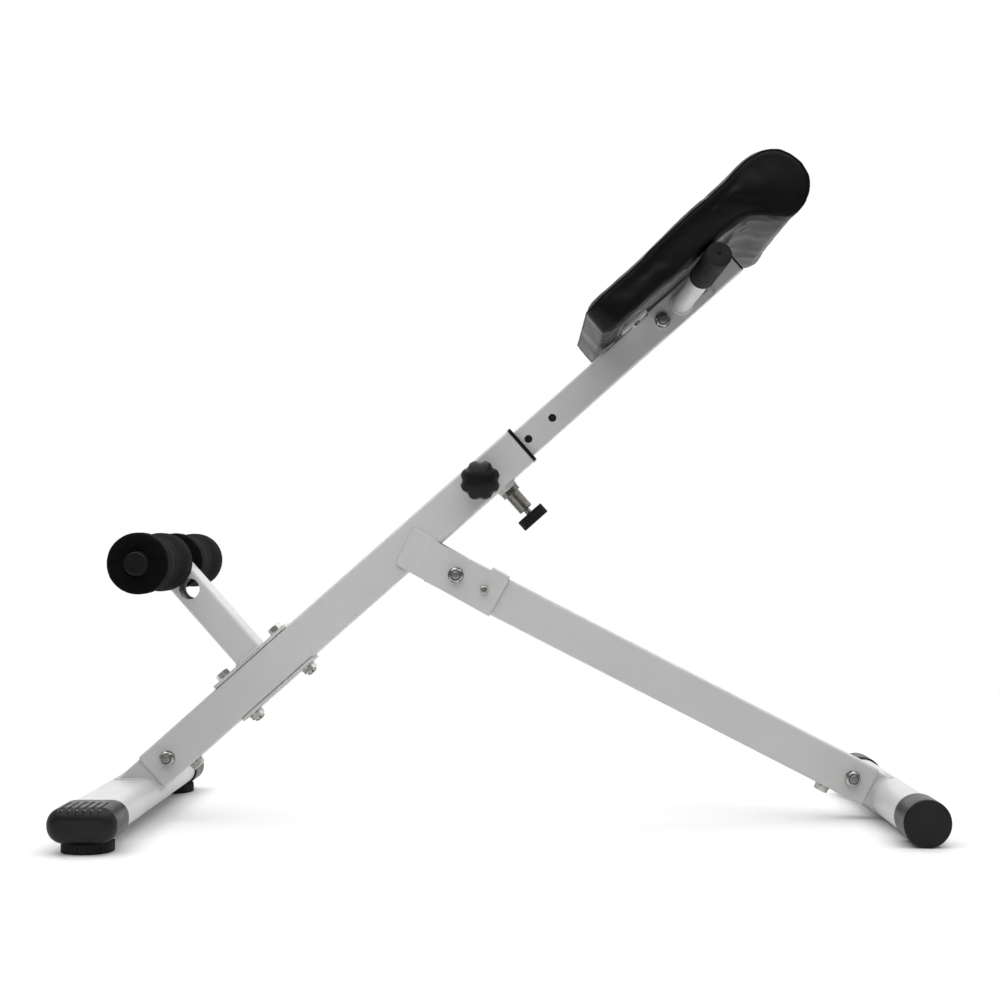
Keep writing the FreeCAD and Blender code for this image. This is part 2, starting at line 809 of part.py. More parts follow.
def make_foot(label, side):
    """Levelling foot: a ribbed disc moulded on a threaded stud, as two pieces."""
    disc = new_body(f"foot_disc_{label}_body")
    sketch = new_sketch(disc, f"foot_disc_{label}_round", "XY_Plane", 0)
    circle(sketch, 0, 0, cell("foot_across") / 2)
    pad(disc, f"foot_disc_{label}_pad", sketch, cell("foot_height"))
    fillet(disc, f"foot_disc_{label}_edge", 1.2, is_round_edge)
    rib = new_sketch(disc, f"foot_disc_{label}_rib", "XY_Plane", 0)
    circle(rib, cell("foot_across") / 2 + 0.5, 0, 1.4)
    first = pocket(disc, f"foot_disc_{label}_rib_cut", rib, 30, both_ways=True)
    polar(disc, f"foot_disc_{label}_ribs", rib, first, cell("foot_ribs"))
    socket = new_sketch(disc, f"foot_disc_{label}_socket", "XY_Plane", 3)
    circle(socket, 0, 0, BOLT_RADIUS + cell("turning_gap"))
    pocket(disc, f"foot_disc_{label}_bore", socket, 30, reverse=True)
    foot_y = side * cell("foot_y")
    sub_part(disc, f"foot_disc_{label}", FLOOR, cell("rear_x"), foot_y, 0)
    screw = rod(f"foot_screw_{label}_body", BOLT_RADIUS, 0, cell("foot_screw_top") - 3.3)
    bevelled = doc.addObject("Part::Chamfer", f"foot_screw_{label}_bevel")
    bevelled.Base = screw
    bevelled.Edges = [(number, 0.8, 0.8) for number in edge_numbers(screw, is_round_edge)]
    sub_part(bevelled, f"foot_screw_{label}", FLOOR, cell("rear_x"), foot_y, 3.3)


def make_roller_post():
    """Upright square to the main tube, welded on its base plate, with two axle holes."""
    plate_low = HALF_TUBE
    plate_high = plate_low + cell("plate_thick")
    half = cell("plate_length") / 2
    body = new_body("roller_post_body")
    plate = new_sketch(body, "post_plate_outline", "XY_Plane", plate_low)
    round_cornered(plate, half * 2, cell("tube_side"), 4)
    pad(body, "post_plate_pad", plate, cell("plate_thick"))
    section = new_sketch(body, "post_section", "XY_Plane", plate_high - 0.5)
    round_cornered(section, cell("post_wide"), cell("post_deep"), 4)
    pad(body, "post_pad", section, cell("post_top") - plate_high + 0.5)
    inside = new_sketch(body, "post_inside", "XY_Plane", plate_high)
    wall = cell("tube_wall")
    round_cornered(inside, cell("post_wide") - wall * 2, cell("post_deep") - wall * 2, 2.4)
    pocket(body, "post_hollow", inside, cell("post_top"), reverse=True)
    axle_places = [(0, cell("axle_up")), (0, cell("spare_axle_up"))]
    holes(body, "axle_holes", "XZ_Plane", axle_places, cell("axle_hole") / 2)
    spread = cell("post_bolt_spread")
    holes(body, "post_plate_holes", "XY_Plane", [(-spread, 0), (spread, 0)], BOLT_HOLE)
    sub_part(body, "roller_post", RAIL, cell("post_along"))

    low = -HALF_TUBE - cell("plate_thick")
    backing = new_body("post_backing_plate_body")
    outline = new_sketch(backing, "backing_outline", "XY_Plane", low)
    round_cornered(outline, half * 2, cell("tube_side"), 4)
    pad(backing, "backing_pad", outline, cell("plate_thick"))
    holes(backing, "backing_holes", "XY_Plane", [(-spread, 0), (spread, 0)], BOLT_HOLE)
    sub_part(backing, "post_backing_plate", RAIL, cell("post_along"))

    sides = (cell("post_wide"), cell("post_deep"))
    end_plug("post_plug", RAIL, "z", (cell("post_along"), cell("post_top")), sides, 1, 6.5)


def end_plug(label, frame, axis, place, sides, away, depth=16):
    """Moulded plug with a flange, closing a square tube's end at a place given as x and z."""
    wall = cell("tube_wall")
    width, height = sides
    fit = 0.1
    flange = 2.4
    plane = {"x": "YZ_Plane", "z": "XY_Plane"}[axis]
    inner_start = -depth if away > 0 else 0
    body = new_body(label + "_body")
    core = new_sketch(body, label + "_core", plane, inner_start)
    round_cornered(core, width - wall * 2 - fit, height - wall * 2 - fit, 3)
    pad(body, label + "_core_pad", core, depth)
    hollow = new_sketch(body, label + "_hollow", plane, inner_start if away > 0 else depth)
    round_cornered(hollow, width - wall * 2 - 4, height - wall * 2 - 4, 1.2)
    pocket(body, label + "_hollow_cut", hollow, depth - 2, reverse=away > 0)
    rim = new_sketch(body, label + "_rim", plane, 0 if away > 0 else -flange)
    round_cornered(rim, width, height, 3)
    pad(body, label + "_rim_pad", rim, flange)
    face = flange * away

    def on_face(edge):
        return all(abs(getattr(vertex.Point, axis) - face) < 0.01 for vertex in edge.Vertexes)

    fillet(body, label + "_soft_edge", 1.0, on_face)
    sub_part(body, label, frame, place[0], 0, place[1])


def make_axle_and_rollers():
    half = cell("axle_width") / 2
    place = (cell("post_along"), 0, cell("axle_up"))
    tube = cut(
        "roller_axle_body",
        rod("roller_axle_outside", cell("axle_across") / 2, -half, half, "y"),
        rod("roller_axle_inside", cell("axle_across") / 2 - 1.5, -half - 1, half + 1, "y"),
    )
    sub_part(tube, "roller_axle", RAIL, *place)
    plugs = []
    for side in (-1, 1):
        body = new_body(f"axle_plug_{side}")
        outline = new_sketch(body, f"axle_plug_outline_{side}", "XY_Plane", 0)
        rim, stem, bore = cell("core_across") / 2 - 1, cell("axle_across") / 2 - 1.6, 8
        inner, face = side * (half - 14), side * (half + 3)
        shoulder = side * half
        profile = [(0, shoulder), (bore, shoulder), (bore, inner), (stem, inner), (stem, shoulder)]
        profile += [(rim, shoulder), (rim, face), (0, face)]
        polygon(outline, profile)
        revolve(body, f"axle_plug_turned_{side}", outline, "V_Axis")
        fillet(body, f"axle_plug_soft_{side}", 1.6, outer_rim(rim, face))
        plugs.append(body)
    sub_part(group("axle_plugs_group", *plugs), "axle_plugs", RAIL, *place)
    for name, side in (("right", -1), ("left", 1)):
        make_roller(name, side, place)


def outer_rim(radius, height):
    """Test for the circular edge of a radius at a height along y."""

    def test(edge):
        if not is_round_edge(edge):
            return False
        off_height = abs(edge.Curve.Center.y - sized(height).value)
        return abs(edge.Curve.Radius - sized(radius).value) < 0.01 and off_height < 0.01

    return test


def make_roller(name, side, place):
    """Waisted foam roller on a plastic core that turns on the axle."""
    start, length = cell("foam_start"), cell("foam_length")
    end = start + length
    core_radius = cell("core_across") / 2
    low, high = min_size(side * start, side * end), max_size(side * start, side * end)
    bore_radius = cell("axle_across") / 2 + cell("turning_gap")
    core = cut(
        f"roller_core_{name}_body",
        rod(f"roller_core_{name}_outside", core_radius, low, high, "y"),
        rod(f"roller_core_{name}_bore", bore_radius, low - 1, high + 1, "y"),
    )
    sub_part(core, f"roller_core_{name}", RAIL, *place)
    flange, waist = cell("foam_across") / 2, cell("foam_waist") / 2
    # share of the length, and share of the way from the flange's radius to the waist's
    stations = [(0, 1.56), (0.035, 0.44), (0.09, 0), (0.17, 0.04), (0.3, 0.76), (0.42, 0.98), (0.5, 1)]
    half_profile = [(share, flange - (flange - waist) * drop) for share, drop in stations]
    profile = half_profile + [(1 - share, radius) for share, radius in reversed(half_profile[:-1])]
    body = new_body(f"foam_roller_{name}_body")
    outline = new_sketch(body, f"foam_{name}_outline", "XY_Plane", 0)
    corners = [(core_radius, side * start)]
    corners += [(radius, side * (start + length * share)) for share, radius in profile]
    corners += [(core_radius, side * end)]
    polygon(outline, corners)
    revolve(body, f"foam_{name}_turned", outline, "V_Axis")
    sub_part(body, f"foam_roller_{name}", RAIL, *place)


def make_frame_fasteners():
    """Bolts, washers and lock nuts that stay with the frame."""
    thick = cell("washer_thick")
    nut_space = thick + cell("nut_height") + cell("bolt_tail")
    post, spread = cell("post_along"), cell("post_bolt_spread")
    over = HALF_TUBE + cell("plate_thick")
    bolts, nuts, washers = [], [], []
    for number, place in enumerate((post - spread, post + spread)):
        bolts.append(hex_bolt(f"post_bolt_{number}", over + thick, -over - nut_space, "z", (place, 0)))
        nuts.append(lock_nut(f"post_nut_{number}", -over - thick, -1, "z", (place, 0)))
        washers.append(washer(f"post_washer_top_{number}", over, 1, "z", (place, 0)))
        washers.append(washer(f"post_washer_low_{number}", -over, -1, "z", (place, 0)))
    sub_part(group("post_bolts_group", *bolts), "post_bolts", RAIL)

    rear = (cell("rear_bolt_along"), 0)
    cross = hex_bolt("rear_cross_bolt_body", HALF_TUBE + thick, -HALF_TUBE - nut_space, "y", rear)
    sub_part(cross, "rear_cross_bolt", RAIL)
    nuts.append(lock_nut("rear_nut", -HALF_TUBE - thick, -1, "y", rear))
    washers.append(washer("rear_washer_near", -HALF_TUBE, -1, "y", rear))
    washers.append(washer("rear_washer_far", HALF_TUBE, 1, "y", rear))

    lower = (cell("rear_lower_bolt"), 0)
    under = hex_bolt("rear_lower_bolt_body", -HALF_TUBE - thick, -HALF_TUBE + 12, "z", lower)
    sub_part(under, "rear_lower_bolt", RAIL)
    washers.append(washer("rear_washer_low", -HALF_TUBE, -1, "z", lower))

    plate = HALF_TUBE + cell("joggle_out") + cell("bracket_thick")
    pivot = (cell("pivot_along"), -cell("pivot_drop"))
    sub_part(hex_bolt("pivot_bolt_body", plate + thick, -plate - nut_space, "y", pivot), "pivot_bolt", RAIL)
    nuts.append(lock_nut("pivot_nut", -plate - thick, -1, "y", pivot))
    washers.append(washer("pivot_washer_near", -plate, -1, "y", pivot))
    washers.append(washer("pivot_washer_far", plate, 1, "y", pivot))
    sub_part(group("frame_lock_nuts_group", *nuts), "frame_lock_nuts", RAIL)
    sub_part(group("frame_washers_group", *washers), "frame_washers", RAIL)


# Pull pin and clamping knob


def make_pull_pin():
    """Sprung pin under the main tube that drops into the mast's holes."""
    tube_face = -HALF_TUBE
    along = (cell("pin_along"), 0)
    clear = cell("pin_across") / 2 + cell("turning_gap")
    boss_end = tube_face - 6
    nut_end = boss_end - 6.5
    sleeve_end = tube_face - 39
    boss = cut(
        "pin_boss_body",
        rod("pin_boss_round", 13, boss_end, tube_face, "z", along),
        rod("pin_boss_bore", cell("sleeve_across") / 2, boss_end - 1, tube_face - 4, "z", along),
        rod("pin_boss_mouth", clear, tube_face - 5, tube_face + 1, "z", along),
    )
    sub_part(boss, "pin_boss", RAIL)
    stem = 4.0
    sleeve = cut(
        "pin_sleeve_body",
        join(
            "pin_sleeve_outside",
            rod("pin_sleeve_round", cell("sleeve_across") / 2, sleeve_end, tube_face - 4.0, "z", along),
            hexagon("pin_sleeve_nut", cell("sleeve_nut_flats"), nut_end, boss_end, "z", along),
        ),
        rod("pin_sleeve_chamber", cell("sleeve_bore") / 2, sleeve_end + 3, tube_face - 3, "z", along),
        rod("pin_sleeve_mouth", stem + cell("turning_gap"), sleeve_end - 1, sleeve_end + 4, "z", along),
    )
    sub_part(rounded("pin_sleeve_soft", sleeve, 1.2, at_lower_rim(sleeve_end, 9.5)), "pin_sleeve", RAIL)

    nose = -HALF_MAST - cell("pin_short")
    bevel = 1.2
    pin_radius = cell("pin_across") / 2
    collar_top = tube_face - 4.6
    knob_top = -cell("pull_knob_down") + cell("pull_knob_thick") / 2
    pin = join(
        "pull_pin_body",
        rod("pull_pin_nose", pin_radius, collar_top - 2, nose - bevel, "z", along),
        cone("pull_pin_tip", pin_radius, pin_radius - bevel, nose - bevel, nose, "z", along),
        rod("pull_pin_collar", cell("sleeve_bore") / 2 - 0.3, collar_top - 3, collar_top, "z", along),
        rod("pull_pin_stem", stem, knob_top - 9, collar_top - 1, "z", along),
    )
    sub_part(pin, "pull_pin", RAIL)

    knob = new_body("pull_knob_body")
    radius = cell("pull_knob_across") / 2
    thick = cell("pull_knob_thick")
    outline = new_sketch(knob, "pull_knob_outline", "XZ_Plane", 0)
    profile = [(stem, 0), (radius, 0), (radius, -thick), (0, -thick), (0, -9), (stem, -9)]
    polygon(outline, profile)
    revolve(knob, "pull_knob_turned", outline, "V_Axis")
    fillet(knob, "pull_knob_soft", 1.2, round_of_radius(radius))
    flute = new_sketch(knob, "pull_knob_flute", "XY_Plane", 0)
    circle(flute, radius + 0.7, 0, 1.6)
    first = pocket(knob, "pull_knob_flute_cut", flute, 60, both_ways=True)
    polar(knob, "pull_knob_flutes", flute, first, 32)
    sub_part(knob, "pull_knob", RAIL, cell("pin_along"), 0, knob_top)
    make_pin_spring(along, sleeve_end + 3.2, collar_top - 3.3)


def at_lower_rim(height, radius):
    """Test for the circular edge of a radius at a height along z."""

    def test(edge):
        if not is_round_edge(edge):
            return False
        off_height = abs(edge.Curve.Center.z - sized(height).value)
        return abs(edge.Curve.Radius - radius) < 0.01 and off_height < 0.01

    return test


def make_pin_spring(along, low, high):
    """Compression spring round the pin's stem, swept along a helix of short straight runs."""
    wire = cell("spring_wire").value / 2
    turn_radius = 5.4
    steps_per_turn = 12
    height = high.value - low.value - 2 * wire
    count = round(cell("spring_turns").value) * steps_per_turn
    points = []
    for step in range(count + 1):
        turn = 2 * math.pi * step / steps_per_turn
        rise = wire + height * step / count
        points.append(FreeCAD.Vector(turn_radius * math.cos(turn), turn_radius * math.sin(turn), rise))
    section = Part.Wire(Part.makeCircle(wire, points[0], points[1] - points[0]))
    mitred_corners = 1
    coil = Part.makePolygon(points).makePipeShell([section], True, False, mitred_corners)
    spring = doc.addObject("Part::Feature", "pull_pin_spring_body")
    spring.Shape = coil
    sub_part(spring, "pull_pin_spring", RAIL, along[0], 0, low)


def make_clamp_knob():
    """Lobed knob on a screw through a welded boss in the near wall."""
    along = (cell("knob_along"), 0)
    face = -HALF_TUBE
    boss = cut(
        "knob_boss_body",
        hexagon("knob_boss_nut", sized(17), face - 8, face, "y", along),
        rod("knob_boss_bore", BOLT_RADIUS + cell("turning_gap"), face - 9, face + 1, "y", along),
    )
    sub_part(boss, "knob_boss", RAIL)
    tip = -HALF_MAST - cell("pin_short")
    knob_face = -cell("star_y") + cell("star_thick") / 2
    screw_end = knob_face - 12
    screw = join(
        "clamp_screw_body",
        rod("clamp_screw_shank", BOLT_RADIUS, screw_end, tip - 1.5, "y", along),
        cone("clamp_screw_tip", BOLT_RADIUS, BOLT_RADIUS - 1.5, tip - 1.5, tip, "y", along),
    )
    sub_part(screw, "clamp_screw", RAIL)

    knob = new_body("star_knob_body")
    radius = cell("star_across") / 2
    thick = cell("star_thick")
    outline = new_sketch(knob, "star_knob_outline", "XY_Plane", 0)
    bore = BOLT_RADIUS + cell("turning_gap")
    socket = -12.4
    profile = [(bore, 6), (10, 6), (11.5, 0), (radius - 1, 0), (radius, -thick * 0.35)]
    profile += [(radius - 2, -thick * 0.72), (radius * 0.6, -thick * 0.94), (0, -thick)]
    profile += [(0, socket), (bore, socket)]
    polygon(outline, profile)
    revolve(knob, "star_knob_turned", outline, "V_Axis")
    notch = new_sketch(knob, "star_knob_notch", "XZ_Plane", 0)
    circle(notch, radius + 3.4, 0, 6.2)
    first = pocket(knob, "star_knob_notch_cut", notch, 80, both_ways=True)
    polar(knob, "star_knob_notches", notch, first, cell("star_lobes"))
    sub_part(knob, "star_knob", RAIL, cell("knob_along"), knob_face, 0)


# Mast, pad and handles


def make_mast():
    body = square_tube(
        "mast_tube_body",
        cell("mast_side"),
        cell("mast_side"),
        cell("mast_wall"),
        cell("mast_corner"),
        -cell("mast_below"),
        cell("mast_above"),
    )
    side_places, pin_places = [], []
    for number in range(-2, 4):
        side_places.append((cell("knob_along") + cell("hole_pitch") * number, 0))
        pin_places.append((cell("pin_along") + cell("hole_pitch") * number, 0))
    holes(body, "mast_side_holes", "XZ_Plane", side_places, cell("hole_across") / 2, reverse=True)
    holes(body, "mast_pin_holes", "XY_Plane", pin_places, cell("hole_across") / 2 + 0.2, reverse=False)
    bolt_places = [(cell("handle_bolt_low"), 0), (cell("handle_bolt_high"), 0)]
    holes(body, "handle_bolt_holes", "XZ_Plane", bolt_places, BOLT_HOLE)
    sub_part(body, "mast_tube", RAIL)
    end_plug("mast_plug", RAIL, "x", (cell("mast_above"), 0), (cell("mast_side"), cell("mast_side")), 1)

    guide_side = cell("tube_side") - cell("tube_wall") * 2 - cell("slide_gap") * 2
    start = -cell("mast_below")
    guide = new_body("mast_guide_body")
    collar = new_sketch(guide, "mast_guide_collar", "YZ_Plane", start)
    round_cornered(collar, guide_side, guide_side, 3)
    round_cornered(collar, cell("mast_side"), cell("mast_side"), cell("mast_corner"))
    pad(guide, "mast_guide_collar_pad", collar, cell("guide_length"))
    bottom = new_sketch(guide, "mast_guide_bottom", "YZ_Plane", start - 2)
    round_cornered(bottom, guide_side, guide_side, 3)
    round_cornered(bottom, 26, 26, 3)
    pad(guide, "mast_guide_bottom_pad", bottom, 2)
    sub_part(guide, "mast_guide", RAIL)


def make_pad():
    """Brackets, screws, board and cushion; the cushion is a slab that rolls over at its upper end."""
    top = HALF_MAST
    under = cell("pad_under")
    half_wide, half_long = cell("pad_bracket_wide") / 2, cell("pad_bracket_long") / 2
    plates, screws = [], []
    for number, along in enumerate((cell("bracket_low_along"), cell("bracket_high_along"))):
        drills = []
        for side in (-1, 1):
            across = (along, side * cell("pad_screw_y"))
            drills.append(rod(f"pad_bracket_hole_{number}_{side}", 3.3, 0, 60, "z", across))
            head = hex_end(f"pad_screw_head_{number}_{side}", sized(11), top, top - 4.4, "z", across)
            shank = rod(f"pad_screw_shank_{number}_{side}", 3, top - 1, under + 10, "z", across)
            screws.append(join(f"pad_screw_{number}_{side}", head, shank))
        limits = ((along - half_wide, along + half_wide), (-half_long, half_long), (top, under))
        flat = block(f"pad_bracket_flat_{number}", *limits)
        plates.append(cut(f"pad_bracket_{number}", flat, *drills))
    sub_part(group("pad_brackets_group", *plates), "pad_brackets", RAIL)
    sub_part(group("pad_screws_group", *screws), "pad_screws", RAIL)

    half_board = cell("board_width") / 2
    board_top = under + cell("board_thick")
    board_limits = ((cell("board_low"), cell("board_high")), (-half_board, half_board))
    board_holes = []
    for number, along in enumerate((cell("bracket_low_along"), cell("bracket_high_along"))):
        for side in (-1, 1):
            across = (along, side * cell("pad_screw_y"))
            board_holes.append(rod(f"board_hole_{number}_{side}", 3.05, under - 1, under + 10.3, "z", across))
    board = cut("pad_board_body", block("pad_board_flat", *board_limits, (under, board_top)), *board_holes)
    sub_part(board, "pad_board", RAIL)

    half = cell("pad_width") / 2
    over = cell("pad_over")
    slab = block("pad_slab", (cell("pad_low"), cell("roll_along")), (-half, half), (under, over))
    roll_across = (cell("roll_along"), cell("roll_up"))
    roll = rod("pad_roll", cell("roll_radius"), -half, half, "y", roll_across)
    recess = block("pad_recess", *board_limits, (under - 30, board_top))
    whole = join("pad_whole", slab, roll)
    soft = rounded("pad_soft", whole, 9, at_pad_end((0, 1, 0)))
    reach = cell("roll_radius") + 1
    plan_along = (cell("pad_low"), cell("roll_along") + reach)
    plan_block = block("pad_plan_block", plan_along, (-half, half), (cell("roll_up") - reach, over + 1))
    plan = rounded("pad_plan", plan_block, cell("pad_corner"), at_pad_end((0, 0, 1)))
    cushion = common("pad_in_plan", soft, plan)
    sub_part(cut("pad_cushion_body", cushion, recess), "pad_cushion", RAIL)


def at_pad_end(direction):
    """Test for edges at the cushion's lower end that run along a direction."""

    def test(edge):
        return runs_along(edge, direction) and abs(edge.CenterOfMass.x - cell("pad_low").value) < 0.01

    return test


def make_handle(label, side):
    """Side plate with a tube that leans up the mast and away from it."""
    low = cell("handle_low")
    high = low + cell("handle_plate")
    thick = cell("handle_thick")
    inner, outer = side * HALF_MAST, side * (HALF_MAST + thick)
    across = (min_size(inner, outer), max_size(inner, outer))
    plate = block(f"{label}_plate", (low, high), across, (-HALF_MAST, HALF_MAST))
    drills = [
        rod(f"{label}_drill_{number}", BOLT_HOLE, -60, 60, "y", (cell(f"handle_bolt_{number}"), 0))
        for number in ("low", "high")
    ]
    drilled = cut(f"{label}_plate_drilled", plate, *drills)
    start = FreeCAD.Vector(cell("handle_root").value, side * (HALF_MAST + 1).value, 0)
    end = FreeCAD.Vector(
        cell("handle_end_along").value, side * cell("handle_end_y").value, cell("handle_end_up").value
    )
    lean = FreeCAD.Rotation(FreeCAD.Vector(0, 0, 1), end - start)
    length = (end - start).Length

    def leaning(name, radius, first, last):
        bar = doc.addObject("Part::Cylinder", name)
        bind(bar, Radius=radius)
        bar.Height = last - first
        bar.Placement = FreeCAD.Placement(start + (end - start) * (first / length), lean)
        return bar

    radius = cell("handle_across") / 2
    grip_start = length - cell("grip_length").value
    outside = leaning(f"{label}_tube_outside", radius, -12, length - 3)
    inside = leaning(f"{label}_tube_inside", radius - cell("tube_wall"), -14, length)
    tube = cut(f"{label}_tube", outside, inside)
    plate_middle = HALF_MAST + thick / 2
    space_limits = ((low - 100, high + 100), (-plate_middle, plate_middle), (-50, 50))
    inner_space = block(f"{label}_inner_space", *space_limits)
    sub_part(join(f"{label}_body", drilled, cut(f"{label}_tube_trimmed", tube, inner_space)), label, RAIL)
    grip = cut(
        f"{label}_grip_body",
        leaning(f"{label}_grip_outside", cell("grip_across") / 2, grip_start, length),
        leaning(f"{label}_grip_bore", radius, grip_start - 1, length - 3),
        leaning(f"{label}_grip_vent", sized(1.6), grip_start, length + 1),
    )
    soft = rounded(f"{label}_grip_soft", grip, 2.0, round_of_radius(cell("grip_across") / 2))
    sub_part(soft, label.replace("handle", "grip"), RAIL)


def make_handle_fasteners():
    face = HALF_MAST + cell("handle_thick")
    thick = cell("washer_thick")
    nut_space = thick + cell("nut_height") + cell("bolt_tail")
    bolts, nuts, washers = [], [], []
    for word in ("low", "high"):
        place = (cell(f"handle_bolt_{word}"), 0)
        bolts.append(hex_bolt(f"handle_bolt_{word}_piece", face + thick, -face - nut_space, "y", place))
        nuts.append(lock_nut(f"handle_nut_{word}", -face - thick, -1, "y", place))
        washers.append(washer(f"handle_washer_near_{word}", -face, -1, "y", place))
        washers.append(washer(f"handle_washer_far_{word}", face, 1, "y", place))
    sub_part(group("handle_bolts_group", *bolts), "handle_bolts", RAIL)
    sub_part(group("handle_lock_nuts_group", *nuts), "handle_lock_nuts", RAIL)
    sub_part(group("handle_washers_group", *washers), "handle_washers", RAIL)


# Folding leg


def make_leg():
    body = square_tube(
        "leg_tube_body",
        cell("tube_side"),
        cell("tube_side"),
        cell("tube_wall"),
        cell("tube_corner"),
        -cell("leg_back"),
        cell("leg_length"),
    )
    holes(body, "leg_pivot_hole", "XZ_Plane", [(0, 0)], BOLT_RADIUS + cell("turning_gap"))
    holes(body, "leg_lock_hole", "XZ_Plane", [(cell("lock_along"), 0)], cell("lock_across") / 2 + 0.3)
    holes(body, "leg_bolt_hole", "XZ_Plane", [(cell("leg_bolt_along"), 0)], BOLT_HOLE)
    holes(body, "leg_lower_hole", "XY_Plane", [(cell("leg_lower_bolt"), 0)], BOLT_HOLE, reverse=False)
    sub_part(body, "leg_tube", LEG)
    end_plug("leg_plug", LEG, "x", (-cell("leg_back"), 0), (cell("tube_side"), cell("tube_side")), -1)


def make_front_stabiliser():
    """Round cross tube with the stub that goes up inside the leg."""
    radius = cell("front_across") / 2
    half = cell("front_width") / 2 - 5
    wall = cell("tube_wall")
    centre = (cell("front_along"), 0)
    cross = cut(
        "front_cross_tube",
        rod("front_cross_outside", radius, -half, half, "y", centre),
        rod("front_cross_inside", radius - wall, -half - 1, half + 1, "y", centre),
    )
    start, end = cell("stub_into_leg"), cell("front_along")
    stub = cut(
        "front_stub",
        square_tube("front_stub_tube", cell("stub_side"), cell("stub_side"), wall, 3, start, end),
        rod("front_stub_space", radius - 0.5, -100, 100, "y", centre),
        rod("front_stub_bolt_hole", BOLT_HOLE, -100, 100, "y", (cell("leg_bolt_along"), 0)),
        rod("front_stub_lower_hole", BOLT_HOLE, -100, 0, "z", (cell("leg_lower_bolt"), 0)),
    )
    sub_part(join("front_stabiliser_body", cross, stub), "front_stabiliser", LEG)


def make_front_cap(label, side):
    """Round end cap with a stepped rim at its open end."""
    radius = cell("front_cap_across") / 2
    length = cell("front_cap_length")
    bore = cell("front_across") / 2 + 0.1
    body = new_body(label + "_body")
    outline = new_sketch(body, label + "_outline", "XY_Plane", 0)
    profile = [
        (bore, 0),
        (radius - 1, 0),
        (radius - 1, side * 6),
        (radius, side * 7),
        (radius, side * length),
        (0, side * length),
        (0, side * (length - 4.8)),
        (bore, side * (length - 4.8)),
    ]
    polygon(outline, profile)
    revolve(body, label + "_turned", outline, "V_Axis")
    fillet(body, label + "_soft", 2.6, outer_rim(radius, side * length))
    start_y = side * (cell("front_width") / 2 - length)
    sub_part(body, label, LEG, cell("front_along"), start_y, 0)


def make_leg_fasteners():
    thick = cell("washer_thick")
    nut_space = thick + cell("nut_height") + cell("bolt_tail")
    place = (cell("leg_bolt_along"), 0)
    cross = hex_bolt("leg_cross_bolt_body", HALF_TUBE + thick, -HALF_TUBE - nut_space, "y", place)
    sub_part(cross, "leg_cross_bolt", LEG)
    sub_part(lock_nut("leg_lock_nut_body", -HALF_TUBE - thick, -1, "y", place), "leg_lock_nut", LEG)
    lower = (cell("leg_lower_bolt"), 0)
    under = hex_bolt("leg_lower_bolt_body", -HALF_TUBE - thick, -HALF_TUBE + 12, "z", lower)
    sub_part(under, "leg_lower_bolt", LEG)
    washers = [
        washer("leg_washer_near", -HALF_TUBE, -1, "y", place),
        washer("leg_washer_far", HALF_TUBE, 1, "y", place),
        washer("leg_washer_low", -HALF_TUBE, -1, "z", lower),
    ]
    sub_part(group("leg_washers_group", *washers), "leg_washers", LEG)


def make_lock_pin():
    """Pin that locks the open leg: its tip on the near plate, its knob and rod on the far plate."""
    place = (cell("lock_along"), 0)
    radius = cell("lock_across") / 2
    near = -HALF_TUBE - cell("joggle_out")
    far = HALF_TUBE + cell("joggle_out")
    thick = cell("bracket_thick")
    tip = join(
        "lock_pin_tip_body",
        rod("lock_pin_tip_rod", radius, near - thick - 5, near, "y", place),
        cone("lock_pin_tip_nose", radius - 1.2, radius, near - thick - 6.2, near - thick - 5, "y", place),
    )
    sub_part(tip, "lock_pin_tip", LEG)
    bush = cut(
        "lock_pin_bush_body",
        rod("lock_pin_bush_round", 9, far + thick, far + thick + 8, "y", place),
        rod("lock_pin_bush_bore", radius + cell("turning_gap"), far, far + thick + 9, "y", place),
    )
    sub_part(bush, "lock_pin_bush", LEG)
    knob_face = far + thick + 12
    pin = join(
        "leg_lock_pin_body",
        rod("leg_lock_pin_rod", radius, far + 1.4, knob_face + 10, "y", place),
        cone("leg_lock_pin_nose", radius - 1, radius, far + 0.4, far + 1.4, "y", place),
    )
    sub_part(pin, "leg_lock_pin", LEG)
    knob_radius = cell("lock_knob_across") / 2
    knob = cut(
        "leg_lock_knob_round",
        rod("leg_lock_knob_outside", knob_radius, knob_face, knob_face + 20, "y", place),
        rod("leg_lock_knob_bore", radius, knob_face - 1, knob_face + 10, "y", place),
    )
    sub_part(rounded("leg_lock_knob_soft", knob, 3, round_of_radius(knob_radius)), "leg_lock_knob", LEG)


def check_and_write():
    """Stops on a failed object or a bad shape, then writes each sub-part."""
    doc.recompute()
    for obj in doc.Objects:
        if {"Invalid", "Error"} & set(obj.State):
            raise RuntimeError(f"{obj.Name} ({obj.Label}) failed: {obj.State}")
    for obj in SUB_PARTS:
        if obj.Shape.isNull() or not obj.Shape.isValid() or not obj.Shape.Solids:
            raise RuntimeError(f"{obj.Label} has a bad shape")
    for obj in SUB_PARTS:
        obj.Shape.exportStep(f"parts/{obj.Label}.step")
    whole = FreeCAD.BoundBox()
    for obj in SUB_PARTS:
        whole.add(obj.Shape.BoundBox)
    print(len(SUB_PARTS), "sub-parts;", whole)


make_main_tube()
make_tube_bush()
make_leg_bracket()
make_rear_stabiliser()
make_rear_cap("rear_cap_right", -1)
make_rear_cap("rear_cap_left", 1)
make_foot("right", -1)
make_foot("left", 1)
make_roller_post()
make_axle_and_rollers()
make_frame_fasteners()
make_pull_pin()
make_clamp_knob()
make_mast()
make_pad()
make_handle("handle_right", -1)
make_handle("handle_left", 1)
make_handle_fasteners()
make_leg()
make_front_stabiliser()
make_front_cap("front_cap_right", -1)
make_front_cap("front_cap_left", 1)
make_leg_fasteners()
make_lock_pin()
check_and_write()
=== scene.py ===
import json
import math

